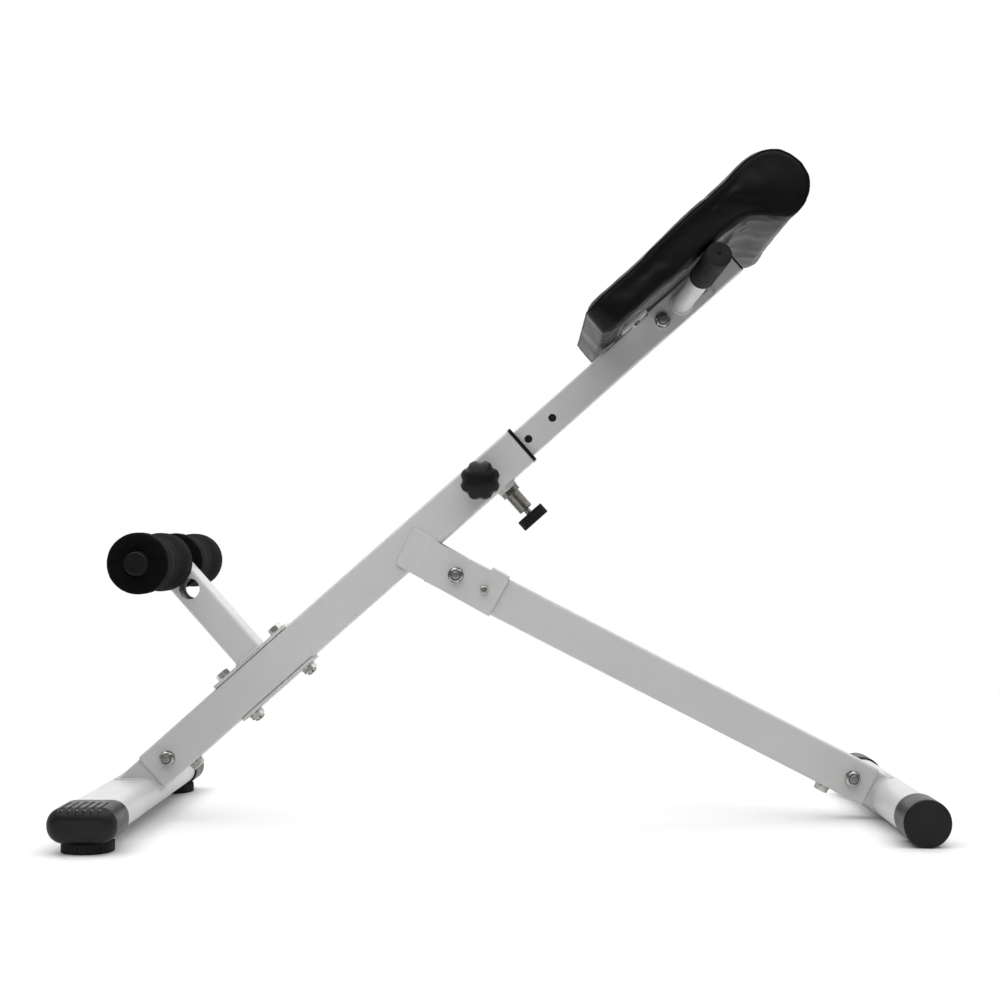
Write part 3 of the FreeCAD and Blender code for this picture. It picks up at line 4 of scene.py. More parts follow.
import bmesh
import bpy
import numpy as np
from mathutils import Matrix, Vector
from mathutils.bvhtree import BVHTree
from mathutils.kdtree import KDTree


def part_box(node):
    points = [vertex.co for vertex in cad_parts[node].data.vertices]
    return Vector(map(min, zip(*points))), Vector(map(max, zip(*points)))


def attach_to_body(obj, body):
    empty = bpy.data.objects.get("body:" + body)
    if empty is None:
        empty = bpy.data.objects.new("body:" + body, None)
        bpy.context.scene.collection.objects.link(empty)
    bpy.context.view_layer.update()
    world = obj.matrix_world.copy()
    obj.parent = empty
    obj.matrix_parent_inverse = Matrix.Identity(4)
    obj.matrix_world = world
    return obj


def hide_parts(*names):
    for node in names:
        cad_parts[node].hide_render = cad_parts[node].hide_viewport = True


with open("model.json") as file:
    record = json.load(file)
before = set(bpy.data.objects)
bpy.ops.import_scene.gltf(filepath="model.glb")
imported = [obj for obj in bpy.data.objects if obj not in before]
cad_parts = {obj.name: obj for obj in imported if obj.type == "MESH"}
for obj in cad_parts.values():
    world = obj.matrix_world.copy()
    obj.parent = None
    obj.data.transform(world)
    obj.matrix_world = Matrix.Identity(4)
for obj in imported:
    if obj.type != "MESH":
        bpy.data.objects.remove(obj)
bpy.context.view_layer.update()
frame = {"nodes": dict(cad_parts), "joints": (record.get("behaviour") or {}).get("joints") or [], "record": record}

# Looks of a folding roman chair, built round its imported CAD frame. All lengths are metres.
# X runs from the rear stabiliser to the front one, -Y is the side that the camera sees, Z is up.

JOINTS = {joint["name"]: joint for joint in frame["joints"]}
MM = 0.001

# Sizes that the CAD model has too
TUBE_HALF = 25 * MM
MAST_HALF = 19 * MM
PIVOT_ALONG, PIVOT_DROP = -102.3 * MM, 67.5 * MM
LEG_TILT, BRACKET_TILT = -27.148, -29.1
BRACKET_BACK, BRACKET_HALF = 72 * MM, 25 * MM
KNOB_ALONG, PIN_ALONG = -1 * MM, 18.4 * MM
REAR_BOLT_ALONG, LEG_BOLT_ALONG, LEG_LOCK_ALONG = -525 * MM, 558.6 * MM, 40.3 * MM
POST_ALONG, POST_BOLTS_ALONG = -364 * MM, (-408 * MM, -320 * MM)
HANDLE_BOLTS_ALONG = (304 * MM, 366.5 * MM)
FRONT_TUBE_ALONG, FRONT_TUBE_RADIUS = 614 * MM, 25.4 * MM
REAR_OVAL_FLAT, REAR_OVAL_RADIUS = 19.5 * MM, 18 * MM
STUB_HALF, STUB_CORNER = 22.9 * MM, 3 * MM
HANDLE_RADIUS, HANDLE_PLATE = 12.7 * MM, 3 * MM
NUT_HEIGHT, WASHER = 8 * MM, 1.8 * MM
PAD_HALF_WIDTH = 200 * MM
FOAM_START, FOAM_END = 32 * MM, 192 * MM
FOAM_RADIUS, FOAM_WAIST, CORE_RADIUS = 36 * MM, 31.5 * MM, 14.6 * MM
GRIP_RADIUS, GRIP_LENGTH = 15.25 * MM, 87 * MM
STAR_RADIUS, STAR_THICK = 25 * MM, 24 * MM


class Tilted:
    """A frame in the XZ plane: `along` a member, `up` square to it, Y across."""

    def __init__(self, origin, along):
        self.along = Vector(along).normalized()
        self.up = Vector((-self.along.z, 0, self.along.x))
        self.origin = Vector(origin)

    def at(self, s, y, n):
        return self.origin + self.along * s + Vector((0, y, 0)) + self.up * n

    def matrix(self):
        axes = Matrix((self.along, Vector((0, 1, 0)), self.up)).transposed().to_4x4()
        return Matrix.Translation(self.origin) @ axes


def tilted_by(degrees):
    return Vector((math.cos(math.radians(degrees)), 0, math.sin(math.radians(degrees))))


PIVOT = Vector(JOINTS["leg_fold"]["pos_m"])
RAIL = Tilted((0, 0, 0), JOINTS["mast_slide"]["axis"])
RAIL.origin = PIVOT - RAIL.along * PIVOT_ALONG + RAIL.up * PIVOT_DROP
LEG = Tilted(PIVOT, tilted_by(LEG_TILT))
BRACKET = Tilted(PIVOT, tilted_by(BRACKET_TILT))
REAR_AXIS = sum(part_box("rear_cap_left"), Vector()) / 2


def handle_axis(side):
    """Where a handle's tube starts in the mast, where it ends, and its direction."""
    root = RAIL.at(335 * MM, side * 20 * MM, 0)
    end = RAIL.at(378 * MM, side * 210 * MM, 6 * MM)
    return root, end, (end - root).normalized()


def smooth(low, high, x):
    """0 below low, 1 above high, with a smooth rise between them."""
    t = np.clip((np.asarray(x, float) - low) / (high - low), 0, 1)
    return t * t * (3 - 2 * t)


# Materials


class Look:
    """A material with one Principled shader, and helpers for its procedural detail."""

    def __init__(self, name, color, roughness, metallic=0.0, **sockets):
        self.material = bpy.data.materials.new(name)
        self.material.use_nodes = True
        self.tree = self.material.node_tree
        self.shader = self.tree.nodes["Principled BSDF"]
        self.shader.inputs["Base Color"].default_value = (*color, 1)
        self.shader.inputs["Roughness"].default_value = roughness
        self.shader.inputs["Metallic"].default_value = metallic
        for socket, value in sockets.items():
            self.shader.inputs[socket.replace("_", " ")].default_value = value
        self.coords = self.node("ShaderNodeTexCoord").outputs["Object"]
        self.normal = None
        self.color = color

    def node(self, kind, **inputs):
        made = self.tree.nodes.new(kind)
        for name, value in inputs.items():
            self.feed(made.inputs[name.replace("_", " ")], value)
        return made

    def feed(self, socket, value):
        if isinstance(value, bpy.types.NodeSocket):
            self.tree.links.new(value, socket)
        else:
            socket.default_value = value

    def stretched(self, stretch, turn=0.0):
        mapping = self.node("ShaderNodeMapping", Vector=self.coords)
        mapping.inputs["Scale"].default_value = stretch
        mapping.inputs["Rotation"].default_value = (0, turn, 0)
        return mapping.outputs["Vector"]

    def noise(self, scale, detail=3.0, rough=0.5, at=None):
        made = self.node("ShaderNodeTexNoise", Vector=at or self.coords, Scale=scale, Detail=detail)
        made.inputs["Roughness"].default_value = rough
        return made.outputs["Fac"]

    def cells(self, scale, feature="F1", at=None):
        made = self.node("ShaderNodeTexVoronoi", Vector=at or self.coords, Scale=scale)
        made.feature = feature
        return made.outputs["Distance"]

    def span(self, value, low, high, to_low, to_high):
        """Maps value from low..high to to_low..to_high, clamped."""
        made = self.node("ShaderNodeMapRange", Value=value)
        limits = {"From Min": low, "From Max": high, "To Min": to_low, "To Max": to_high}
        for name, number in limits.items():
            made.inputs[name].default_value = number
        return made.outputs["Result"]

    def math(self, operation, first, second):
        made = self.node("ShaderNodeMath")
        made.operation = operation
        self.feed(made.inputs[0], first)
        self.feed(made.inputs[1], second)
        return made.outputs["Value"]

    def blend(self, factor, first, second):
        """Mix of two colours."""
        made = self.node("ShaderNodeMix")
        made.data_type = "RGBA"
        self.feed(made.inputs["Factor"], factor)
        for socket, color in ((made.inputs[6], first), (made.inputs[7], second)):
            self.feed(socket, color if isinstance(color, bpy.types.NodeSocket) else (*color, 1))
        return made.outputs[2]

    def edges(self, radius):
        """0 on flat ground, towards 1 at a sharp edge, and a rounded normal there."""
        bevel = self.node("ShaderNodeBevel")
        bevel.samples = 4
        bevel.inputs["Radius"].default_value = radius
        self.normal = bevel.outputs["Normal"]
        true = self.node("ShaderNodeNewGeometry").outputs["Normal"]
        dot = self.node("ShaderNodeVectorMath")
        dot.operation = "DOT_PRODUCT"
        self.tree.links.new(self.normal, dot.inputs[0])
        self.tree.links.new(true, dot.inputs[1])
        return self.span(dot.outputs["Value"], 0.995, 0.86, 0.0, 1.0)

    def bump(self, height, strength, distance):
        made = self.node("ShaderNodeBump", Height=height)
        made.inputs["Strength"].default_value = strength
        made.inputs["Distance"].default_value = distance
        if self.normal is not None:
            self.tree.links.new(self.normal, made.inputs["Normal"])
        self.normal = made.outputs["Normal"]

    def shade(self, color=None, roughness=None):
        """Connects what varies over the surface."""
        if color is not None:
            self.feed(self.shader.inputs["Base Color"], color)
        if roughness is not None:
            self.feed(self.shader.inputs["Roughness"], roughness)
        if self.normal is not None:
            self.feed(self.shader.inputs["Normal"], self.normal)
        return self.material


def toned(color, factor):
    return tuple(channel * factor for channel in color)


def powder_coat(name, grey):
    """Light grey powder coat: orange peel, faint clouding, worn and duller on its edges."""
    color = (grey * 0.985, grey, grey * 0.985)
    look = Look(name, color, 0.4, Coat_Weight=0.08, Coat_Roughness=0.25)
    edge = look.edges(1.1 * MM)
    cloud = look.noise(9, 3)
    tone = look.blend(look.span(cloud, 0.35, 0.65, 0, 1), toned(color, 0.965), toned(color, 1.02))
    specks = look.span(look.noise(420, 2), 0.66, 0.74, 0, 0.12)
    tone = look.blend(specks, tone, toned(color, 0.7))
    tone = look.blend(look.math("MULTIPLY", edge, 0.35), tone, toned(color, 1.12))
    look.bump(look.noise(700, 3, 0.55), 0.16, 0.25 * MM)
    look.bump(look.noise(2600, 2), 0.08, 0.1 * MM)
    rough = look.span(look.noise(60, 4), 0.3, 0.7, 0.34, 0.5)
    return look.shade(tone, rough)


def plated(name, color, low, high, stretch=(1, 1, 1)):
    """Plated metal: fine drawn marks and cloudy shine."""
    look = Look(name, color, 0.3, 1.0)
    edge = look.edges(0.5 * MM)
    at = look.stretched(stretch)
    cloud = look.noise(130, 4, 0.6)
    warm = (color[0] * 1.05, color[1], color[2] * 0.9)
    cool = (color[0] * 0.9, color[1] * 0.97, color[2] * 1.04)
    tone = look.blend(look.span(cloud, 0.35, 0.65, 0, 1), warm, cool)
    tone = look.blend(look.math("MULTIPLY", edge, 0.5), tone, toned(color, 1.2))
    look.bump(look.noise(900, 4, 0.6, at), 0.22, 0.12 * MM)
    rough = look.span(look.noise(260, 4, 0.6, at), 0.3, 0.7, low, high)
    return look.shade(tone, rough)


def moulded(name, color, low, high, grain=1500, depth=0.14):
    """Moulded plastic or rubber: spark-eroded grain, faint flow marks and lighter handled edges."""
    look = Look(name, color, 0.45, Specular_IOR_Level=0.18)
    edge = look.edges(0.8 * MM)
    flow = look.span(look.noise(25, 3), 0.35, 0.65, 0, 1)
    tone = look.blend(flow, toned(color, 0.85), toned(color, 1.15))
    tone = look.blend(look.math("MULTIPLY", edge, 0.4), tone, toned(color, 1.9))
    look.bump(look.noise(grain, 3, 0.6), depth, 0.2 * MM)
    rough = look.span(look.noise(90, 3), 0.3, 0.7, low, high)
    return look.shade(tone, rough)


def foam(name):
    """Matte closed-cell foam: small cells, lighter broken ones and a soft dusty bloom."""
    color = (0.0032, 0.0032, 0.0034)
    look = Look(name, color, 0.92, Specular_IOR_Level=0.06, Sheen_Weight=0.01, Sheen_Roughness=0.5)
    cells = look.cells(1250)
    mottle = look.span(look.noise(160, 4, 0.65), 0.35, 0.68, 0, 1)
    tone = look.blend(mottle, toned(color, 0.7), toned(color, 1.5))
    broken = look.span(look.noise(1100, 2), 0.66, 0.75, 0, 0.6)
    tone = look.blend(broken, tone, toned(color, 3.2))
    look.bump(cells, 0.5, 0.5 * MM)
    look.bump(look.noise(420, 4, 0.65), 0.4, 0.6 * MM)
    rough = look.span(look.noise(300, 3), 0.3, 0.7, 0.82, 0.98)
    return look.shade(tone, rough)


def vinyl(name, color=(0.0026, 0.0026, 0.0029)):
    """Grained upholstery vinyl: pebble grain in creased cells darkened as painted shade, lighter patches of hand
    wear and painted sheen, fine stretch marks.
    """
    look = Look(name, color, 0.42, Specular_IOR_Level=0.13, Coat_Weight=0.03, Coat_Roughness=0.3)
    warped = look.node("ShaderNodeVectorMath")
    warped.operation = "ADD"
    drift = look.node("ShaderNodeTexNoise", Vector=look.coords, Scale=90.0)
    scaled = look.node("ShaderNodeVectorMath")
    scaled.operation = "SCALE"
    scaled.inputs["Scale"].default_value = 0.004
    look.tree.links.new(drift.outputs["Color"], scaled.inputs[0])
    look.tree.links.new(look.coords, warped.inputs[0])
    look.tree.links.new(scaled.outputs["Vector"], warped.inputs[1])
    at = warped.outputs["Vector"]
    pebble = look.cells(620, "DISTANCE_TO_EDGE", at)
    crease = look.span(pebble, 0.0, 0.09, 0, 1)
    # Painted shade: the crease lines between the pebbles are darkened to half the vinyl's tone.
    tone = look.blend(crease, toned(color, 0.5), color)
    # Lighter patches, partly hand wear and partly a painted sheen.
    wear_and_painted_sheen = look.span(look.noise(14, 4, 0.6), 0.45, 0.72, 0, 0.7)
    tone = look.blend(wear_and_painted_sheen, tone, toned(color, 1.7))
    look.bump(look.noise(45, 3, 0.5), 0.25, 1.2 * MM)
    look.bump(crease, 0.28, 0.16 * MM)
    look.bump(look.noise(2400, 2), 0.12, 0.06 * MM)
    rough = look.span(look.noise(22, 4, 0.6), 0.3, 0.7, 0.36, 0.52)
    return look.shade(tone, rough)


def backing_cloth(name):
    """Black non-woven dust cover with pressed dimples and loose fibres."""
    color = (0.016, 0.016, 0.017)
    look = Look(name, color, 0.95, Sheen_Weight=0.2)
    dimples = look.span(look.cells(420), 0.1, 0.45, 0, 1)
    fibres = look.noise(900, 5, 0.7, look.stretched((1, 4, 1)))
    tone = look.blend(look.span(fibres, 0.4, 0.65, 0, 1), toned(color, 0.6), toned(color, 1.8))
    look.bump(dimples, 0.5, 0.3 * MM)
    look.bump(fibres, 0.4, 0.2 * MM)
    return look.shade(tone, look.span(fibres, 0.3, 0.7, 0.85, 1.0))


def stained_ply(name):
    """Black-stained plywood: open grain, with the plies showing on its edges."""
    color = (0.045, 0.038, 0.032)
    look = Look(name, color, 0.7)
    turn = -math.atan2(RAIL.along.z, RAIL.along.x)
    grain = look.noise(90, 6, 0.7, look.stretched((0.4, 3, 9), turn))
    tone = look.blend(look.span(grain, 0.35, 0.65, 0, 1), toned(color, 0.5), toned(color, 1.5))
    look.bump(grain, 0.5, 0.3 * MM)
    return look.shade(tone, look.span(grain, 0.3, 0.7, 0.6, 0.85))


COAT = powder_coat("powder_coat_look", 0.545)
WELD = powder_coat("weld_look", 0.55)
ZINC = plated("zinc_look", (0.5, 0.49, 0.47), 0.14, 0.3)
THREAD = plated("thread_look", (0.3, 0.3, 0.3), 0.28, 0.46)
STEEL = plated("satin_steel_look", (0.2, 0.194, 0.178), 0.24, 0.34, (1, 0.2, 1))
PLASTIC = moulded("black_plastic_look", (0.0055, 0.0055, 0.006), 0.32, 0.46)
CAP = moulded("cap_plastic_look", (0.012, 0.012, 0.0128), 0.32, 0.44, 1100, 0.2)
RUBBER = moulded("foot_rubber_look", (0.014, 0.014, 0.014), 0.6, 0.78, 900, 0.3)
GRIP = moulded("grip_rubber_look", (0.012, 0.012, 0.0125), 0.66, 0.85, 1800, 0.35)
NYLON = moulded("nylon_ring_look", (0.05, 0.07, 0.095), 0.34, 0.46, 900, 0.1)
FOAM = foam("black_foam_look")
VINYL = vinyl("black_vinyl_look")
WELT = vinyl("welt_vinyl_look", (0.0022, 0.0022, 0.0024))
YARN = moulded("stitch_thread_look", (0.02, 0.02, 0.021), 0.55, 0.7, 2500, 0.5)
BACKING = backing_cloth("backing_cloth_look")
PLY = stained_ply("stained_ply_look")

SLOT_LOOKS = {
    "powder_coat": COAT,
    "zinc": ZINC,
    "satin_steel": STEEL,
    "black_plastic": PLASTIC,
    "foot_rubber": RUBBER,
    "black_foam": FOAM,
    "grip_rubber": GRIP,
    "black_vinyl": VINYL,
    "plywood": PLY,
}
NODE_LOOKS = {
    "rear_cap_left": CAP,
    "rear_cap_right": CAP,
    "front_cap_left": CAP,
    "front_cap_right": CAP,
}


def dress_cad_nodes():
    """Gives every CAD node the look of its material slot."""
    for part in frame["record"]["subparts"]:
        obj = frame["nodes"][part["node"]]
        look = NODE_LOOKS.get(part["node"], SLOT_LOOKS[part["material_slot"]])
        obj.data.materials.clear()
        obj.data.materials.append(look)


# Mesh building


def new_piece(name, vertices, faces, look, matrix=None):
    """Object from points and faces given in a local frame."""
    mesh = bpy.data.meshes.new(name)
    mesh.from_pydata([tuple(v) for v in vertices], [], faces)
    if matrix is not None:
        mesh.transform(matrix)
    mesh.validate()
    made = bpy.data.objects.new(name, mesh)
    bpy.context.scene.collection.objects.link(made)
    mesh.materials.append(look)
    mesh.shade_smooth()
    return made


def attach(piece, body):
    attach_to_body(piece, body)


def grid_faces(rows, columns, closed_rows=False, closed_columns=True, first=0):
    """Quads between rings of points, each ring `columns` long."""
    faces = []
    for i in range(rows if closed_rows else rows - 1):
        for j in range(columns if closed_columns else columns - 1):
            i_next, j_next = (i + 1) % rows, (j + 1) % columns
            corners = ((i, j), (i, j_next), (i_next, j_next), (i_next, j))
            faces.append(tuple(first + row * columns + column for row, column in corners))
    return faces


def lathe(profile, segments, bend=None):
    """Rings about the z axis from (radius, height) pairs; `bend` may move a ring's points."""
    angles = np.linspace(0, 2 * math.pi, segments, endpoint=False)
    points = []
    for number, (radius, height) in enumerate(profile):
        radii = np.full(segments, radius)
        heights = np.full(segments, height)
        if bend is not None:
            radii, heights = bend(number, radii, heights, angles)
        points += list(zip(radii * np.cos(angles), radii * np.sin(angles), heights))
    return points, grid_faces(len(profile), segments)


def along_axis(start, direction):
    """Matrix that takes the z axis to a line from start."""
    turn = Vector(direction).normalized().to_track_quat("Z", "Y").to_matrix().to_4x4()
    return Matrix.Translation(start) @ turn


def tube_along(path, radii, sides=8, closed=True):
    """Points and faces of a round tube that follows points."""
    path = [Vector(p) for p in path]
    count = len(path)
    points = []
    side = None
    for number, point in enumerate(path):
        after = path[(number + 1) % count] if closed or number < count - 1 else point
        before = path[number - 1] if closed or number else point
        ahead = (after - before).normalized()
        side = ahead.orthogonal() if side is None else side - ahead * side.dot(ahead)
        side.normalize()
        other = ahead.cross(side)
        radius = radii[number] if hasattr(radii, "__len__") else radii
        for step in range(sides):
            angle = 2 * math.pi * step / sides
            points.append(point + (side * math.cos(angle) + other * math.sin(angle)) * radius)
    faces = grid_faces(count, sides, closed_rows=closed)
    if not closed:
        last = (count - 1) * sides
        faces.append(tuple(range(sides - 1, -1, -1)))
        faces.append(tuple(range(last, last + sides)))
    return points, faces


def resampled(points, spacing, closed=False):
    """Points evenly spaced along a line through points."""
    points = [Vector(p) for p in points]
    if closed:
        points.append(points[0])
    lengths = np.cumsum([0] + [(b - a).length for a, b in zip(points, points[1:])])
    count = max(2, round(lengths[-1] / spacing))
    wanted = np.linspace(0, lengths[-1], count, endpoint=not closed)
    table = np.array([tuple(p) for p in points])
    return [Vector([np.interp(w, lengths, table[:, k]) for k in range(table.shape[1])]) for w in wanted]


def rounded_rectangle(half_x, half_y, corner, spacing=2 * MM):
    """Closed outline about the origin, as (x, y) points."""
    points = []
    for number, (sx, sy) in enumerate(((1, 1), (-1, 1), (-1, -1), (1, -1))):
        for step in range(7):
            angle = (number + step / 6) * math.pi / 2
            x = sx * (half_x - corner) + corner * math.cos(angle)
            y = sy * (half_y - corner) + corner * math.sin(angle)
            points.append((x, y, 0))
    return [(p.x, p.y) for p in resampled(points, spacing, closed=True)]


def joined(name, parts, look):
    """One piece from several (points, faces) pairs."""
    vertices, faces = [], []
    for points, quads in parts:
        first = len(vertices)
        vertices += [tuple(p) for p in points]
        faces += [tuple(first + index for index in face) for face in quads]
    return new_piece(name, vertices, faces, look)


# Foam rollers


def make_foam_roller(name, side):
    """Waisted roller cut from foam: rounded rims, flat sawn ends, a slightly uneven skin."""
    rng = np.random.default_rng(11 if side > 0 else 12)
    rings = 96
    rim = 4 * MM
    profile = [(CORE_RADIUS, FOAM_START + 0.8 * MM), (CORE_RADIUS + 1.2 * MM, FOAM_START)]
    for number in range(rings + 1):
        share = number / rings
        off_middle = abs(2 * share - 1)
        radius = FOAM_WAIST + (FOAM_RADIUS - FOAM_WAIST) * float(smooth(0.14, 0.7, off_middle))
        past = max(0.0, off_middle - (1 - 2 * rim / (FOAM_END - FOAM_START)))
        turned = min(1.0, past * (FOAM_END - FOAM_START) / (2 * rim))
        radius -= rim * (1 - math.sqrt(max(0.0, 1 - turned * turned)))
        profile.append((radius, FOAM_START + (FOAM_END - FOAM_START) * share))
    profile += [(CORE_RADIUS + 1.2 * MM, FOAM_END), (CORE_RADIUS, FOAM_END - 0.8 * MM)]
    waves = rng.uniform(0, 2 * math.pi, (6, 2))

    def uneven(_, radii, heights, angles):
        skin = sum(
            np.sin((k + 2) * angles + a + heights * 60 * (k + 1) + b) for k, (a, b) in enumerate(waves)
        )
        lifted = smooth(CORE_RADIUS, FOAM_WAIST, radii)
        return radii + lifted * (skin * 0.05 * MM + rng.normal(0, 0.05 * MM, len(radii))), heights

    points, faces = lathe(profile, 120, uneven)
    axle = JOINTS[f"roller_{name}_spin"]["pos_m"]
    piece = new_piece(f"foam_{name}", points, faces, FOAM, along_axis(axle, (0, side, 0)))
    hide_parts(f"foam_roller_{name}")
    attach(piece, f"roller_{name}")


# Grips


def make_grip(name, side):
    """Moulded grip with a fine diamond tread, a rolled collar and a vented end."""
    _, end, direction = handle_axis(side)
    start = end - direction * GRIP_LENGTH
    segments, rings = 168, 150
    tread, around = 2.1 * MM, 44
    profile = [(12.6 * MM, 0.4 * MM), (13.6 * MM, 0), (14.8 * MM, 0.5 * MM)]
    for number in range(rings + 1):
        height = 1.4 * MM + (GRIP_LENGTH - 3.6 * MM) * number / rings
        profile.append((GRIP_RADIUS, height))
    for step in range(1, 6):
        angle = step / 5 * math.pi / 2
        corner = 2.2 * MM
        radius = GRIP_RADIUS - corner * (1 - math.cos(angle))
        profile.append((radius, GRIP_LENGTH - corner + corner * math.sin(angle)))
    profile += [(9 * MM, GRIP_LENGTH), (3 * MM, GRIP_LENGTH - 0.2 * MM), (1.7 * MM, GRIP_LENGTH - 0.7 * MM)]
    profile += [(1.5 * MM, GRIP_LENGTH - 2.6 * MM), (0.2 * MM, GRIP_LENGTH - 2.6 * MM)]

    def treaded(_, radii, heights, angles):
        edge = smooth(2 * MM, 5 * MM, heights) * smooth(2 * MM, 6 * MM, GRIP_LENGTH - heights)
        one = np.cos(around * angles + 2 * math.pi * heights / tread)
        two = np.cos(around * angles - 2 * math.pi * heights / tread)
        raised = np.clip(one * two, -0.4, 0.6) * 0.22 * MM
        collar = 0.3 * MM * np.exp(-(((heights - 3 * MM) / (1.2 * MM)) ** 2))
        keep = radii > 14.5 * MM
        return radii + keep * (raised * edge - 0.16 * MM + collar), heights

    points, faces = lathe(profile, segments, treaded)
    piece = new_piece(f"grip_sleeve_{name}", points, faces, GRIP, along_axis(start, direction))
    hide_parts(f"grip_{name}")
    attach(piece, "mast")


# Clamping knob


def lobed(angles, radius):
    """Rim of a knob with eight finger scallops."""
    reach, scallop = radius + 3.4 * MM, 6.2 * MM
    pitch = math.pi / 4
    off = (angles + pitch / 2) % pitch - pitch / 2
    across = reach * np.sin(off)
    inside = np.maximum(scallop**2 - across**2, 0)
    rim = np.where(np.abs(across) < scallop, reach * np.cos(off) - np.sqrt(inside), radius)
    rim = np.minimum(rim, radius)
    for _ in range(6):
        rim = (np.roll(rim, 1) + rim + np.roll(rim, -1)) / 3
    return rim


def make_star_knob():
    low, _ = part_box("star_knob")
    centre = Vector((JOINTS["star_knob_turn"]["pos_m"][0], 0, JOINTS["star_knob_turn"]["pos_m"][2]))
    face = low.y + STAR_THICK
    skirt = 0.34 * STAR_THICK
    rings = [(0.0102, -6 * MM, 0), (0.0104, -5 * MM, 0), (0.0112, -0.2 * MM, 0)]
    rings += [(0.86, 0, 1), (0.95, 0.1 * MM, 1), (0.985, 0.7 * MM, 1), (1.0, 1.8 * MM, 1), (1.0, skirt, 1)]
    steps = 16
    for step in range(1, steps):
        angle = step / steps * math.pi / 2
        rings.append((math.cos(angle) ** 0.75, skirt + (STAR_THICK - skirt) * math.sin(angle) ** 1.15, 1))
    rings.append((0.0002, STAR_THICK, 0))

    def shaped(number, radii, heights, angles):
        size, height, is_lobed = rings[number]
        if not is_lobed:
            return radii, heights
        rise = max(0.0, (height - skirt) / (STAR_THICK - skirt))
        rim = lobed(angles, STAR_RADIUS)
        rim = rim + (STAR_RADIUS * 0.94 - rim) * rise**1.5
        return rim * size, heights

    points, faces = lathe([(ring[0], ring[1]) for ring in rings], 192, shaped)
    start = Vector((centre.x, face, centre.z))
    piece = new_piece("star_knob_shell", points, faces, PLASTIC, along_axis(start, (0, -1, 0)))
    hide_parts("star_knob")
    attach(piece, "star_knob")


# Pad


def pad_outline():
    """Side view of the pad in the rail frame: a slab that thickens and rolls over at its upper end."""
    corners = [
        (0.2205, 0.0235), (0.2188, 0.0300), (0.2188, 0.0450), (0.2195, 0.0560), (0.2240, 0.0610),
        (0.2350, 0.0620), (0.2600, 0.0618), (0.3000, 0.0625), (0.3400, 0.0645), (0.3850, 0.0668),
        (0.4150, 0.0665), (0.4400, 0.0670), (0.4650, 0.0685), (0.4830, 0.0680), (0.4960, 0.0645),
        (0.5060, 0.0585), (0.5140, 0.0500), (0.5190, 0.0390), (0.5220, 0.0270), (0.5215, 0.0150),
        (0.5180, 0.0045), (0.5110, -0.0045), (0.5020, -0.0115), (0.4920, -0.0160), (0.4820, -0.0180),
        (0.4730, -0.0170), (0.4640, -0.0110), (0.4530, -0.0005), (0.4440, 0.0085), (0.4365, 0.0145),
        (0.4260, 0.0185), (0.4130, 0.0205), (0.3950, 0.0218), (0.3300, 0.0222), (0.2700, 0.0222),
        (0.2300, 0.0222),
    ]
    curve = []
    count = len(corners)
    for number in range(count):
        a, b, c, d = (Vector(corners[(number + k - 1) % count]) for k in range(4))
        for step in range(6):
            t = step / 6
            point = b * 2 + (c - a) * t + (a * 2 - b * 5 + c * 4 - d) * t**2
            point += (b * 3 - a - c * 3 + d) * t**3
            curve.append(point / 2)
    return [Vector((p.x, p.y)) for p in resampled([(p.x, p.y, 0) for p in curve], 3 * MM, closed=True)]


PAD_LOW, PAD_CORNER = 219 * MM, 25 * MM
END_SEAM, END_FOLD = 60.5 * MM, 23 * MM
ROLL_NOOK = Vector((437 * MM, 14 * MM))
BOARD_LOW, BOARD_HIGH, BOARD_HALF = 236 * MM, 416 * MM, 180 * MM
HEM = 22 * MM


def drawn_in(y):
    """How far the lower end draws back at y, where the pad's corners are round in plan."""
    past = max(0.0, abs(y) - (PAD_HALF_WIDTH - PAD_CORNER))
    return PAD_CORNER - math.sqrt(max(0.0, PAD_CORNER**2 - past**2))


def at_width(outline, y):
    """The side view's points as they lie at y."""
    back = drawn_in(y)
    return [(p.x + back * (1 - float(smooth(0, 70 * MM, p.x - PAD_LOW))), y, p.y) for p in outline]


def across_end(height):
    """Line round the lower end from one side to the other at a height."""
    turns = [k / 12 * math.pi / 2 for k in range(13)]
    ys = [PAD_HALF_WIDTH - PAD_CORNER * (1 - math.sin(turn)) for turn in turns]
    line = [(PAD_LOW + drawn_in(y), y, height) for y in reversed(ys)]
    return line + [(s, -y, n) for s, y, n in reversed(line)]


def nearest(points, wanted):
    return min(range(len(points)), key=lambda number: (points[number] - wanted).length)


def seam_lines(outline):
    """The welted seam round the top and the roll, and the fold round the underside, as lines of points."""
    nook = nearest(outline, ROLL_NOOK)
    top = nearest(outline, Vector((PAD_LOW + PAD_CORNER, END_SEAM)))
    low = nearest(outline, Vector((PAD_LOW + PAD_CORNER, END_FOLD)))
    lines = []
    runs = ((outline[top : nook + 1], END_SEAM), (outline[nook : low + 1][::-1], END_FOLD))
    for side_run, height in runs:
        far = [(p.x, PAD_HALF_WIDTH, p.y) for p in reversed(side_run)]
        near = [(p.x, -PAD_HALF_WIDTH, p.y) for p in side_run]
        lines.append(resampled(far + across_end(height)[1:-1] + near, 2 * MM))
    return lines


def distance_to(points, line):
    """Distance of each point from a line of closely spaced points."""
    tree = KDTree(len(line))
    for number, place in enumerate(line):
        tree.insert(place, number)
    tree.balance()
    return np.array([tree.find(point)[2] for point in points])


def under_board(points):
    """1 where the underside is stapled down to the board, 0 elsewhere, with a soft border."""
    s, y, n = points[:, 0], np.abs(points[:, 1]), points[:, 2]
    inside = smooth(BOARD_LOW - 6 * MM, BOARD_LOW, s) * smooth(-BOARD_HIGH - 6 * MM, -BOARD_HIGH, -s)
    return inside * smooth(-BOARD_HALF - 8 * MM, -BOARD_HALF, -y) * (n < 27 * MM)


def coordinates(mesh):
    values = np.zeros(len(mesh.vertices) * 3)
    mesh.vertices.foreach_get("co", values)
    return values.reshape(-1, 3)


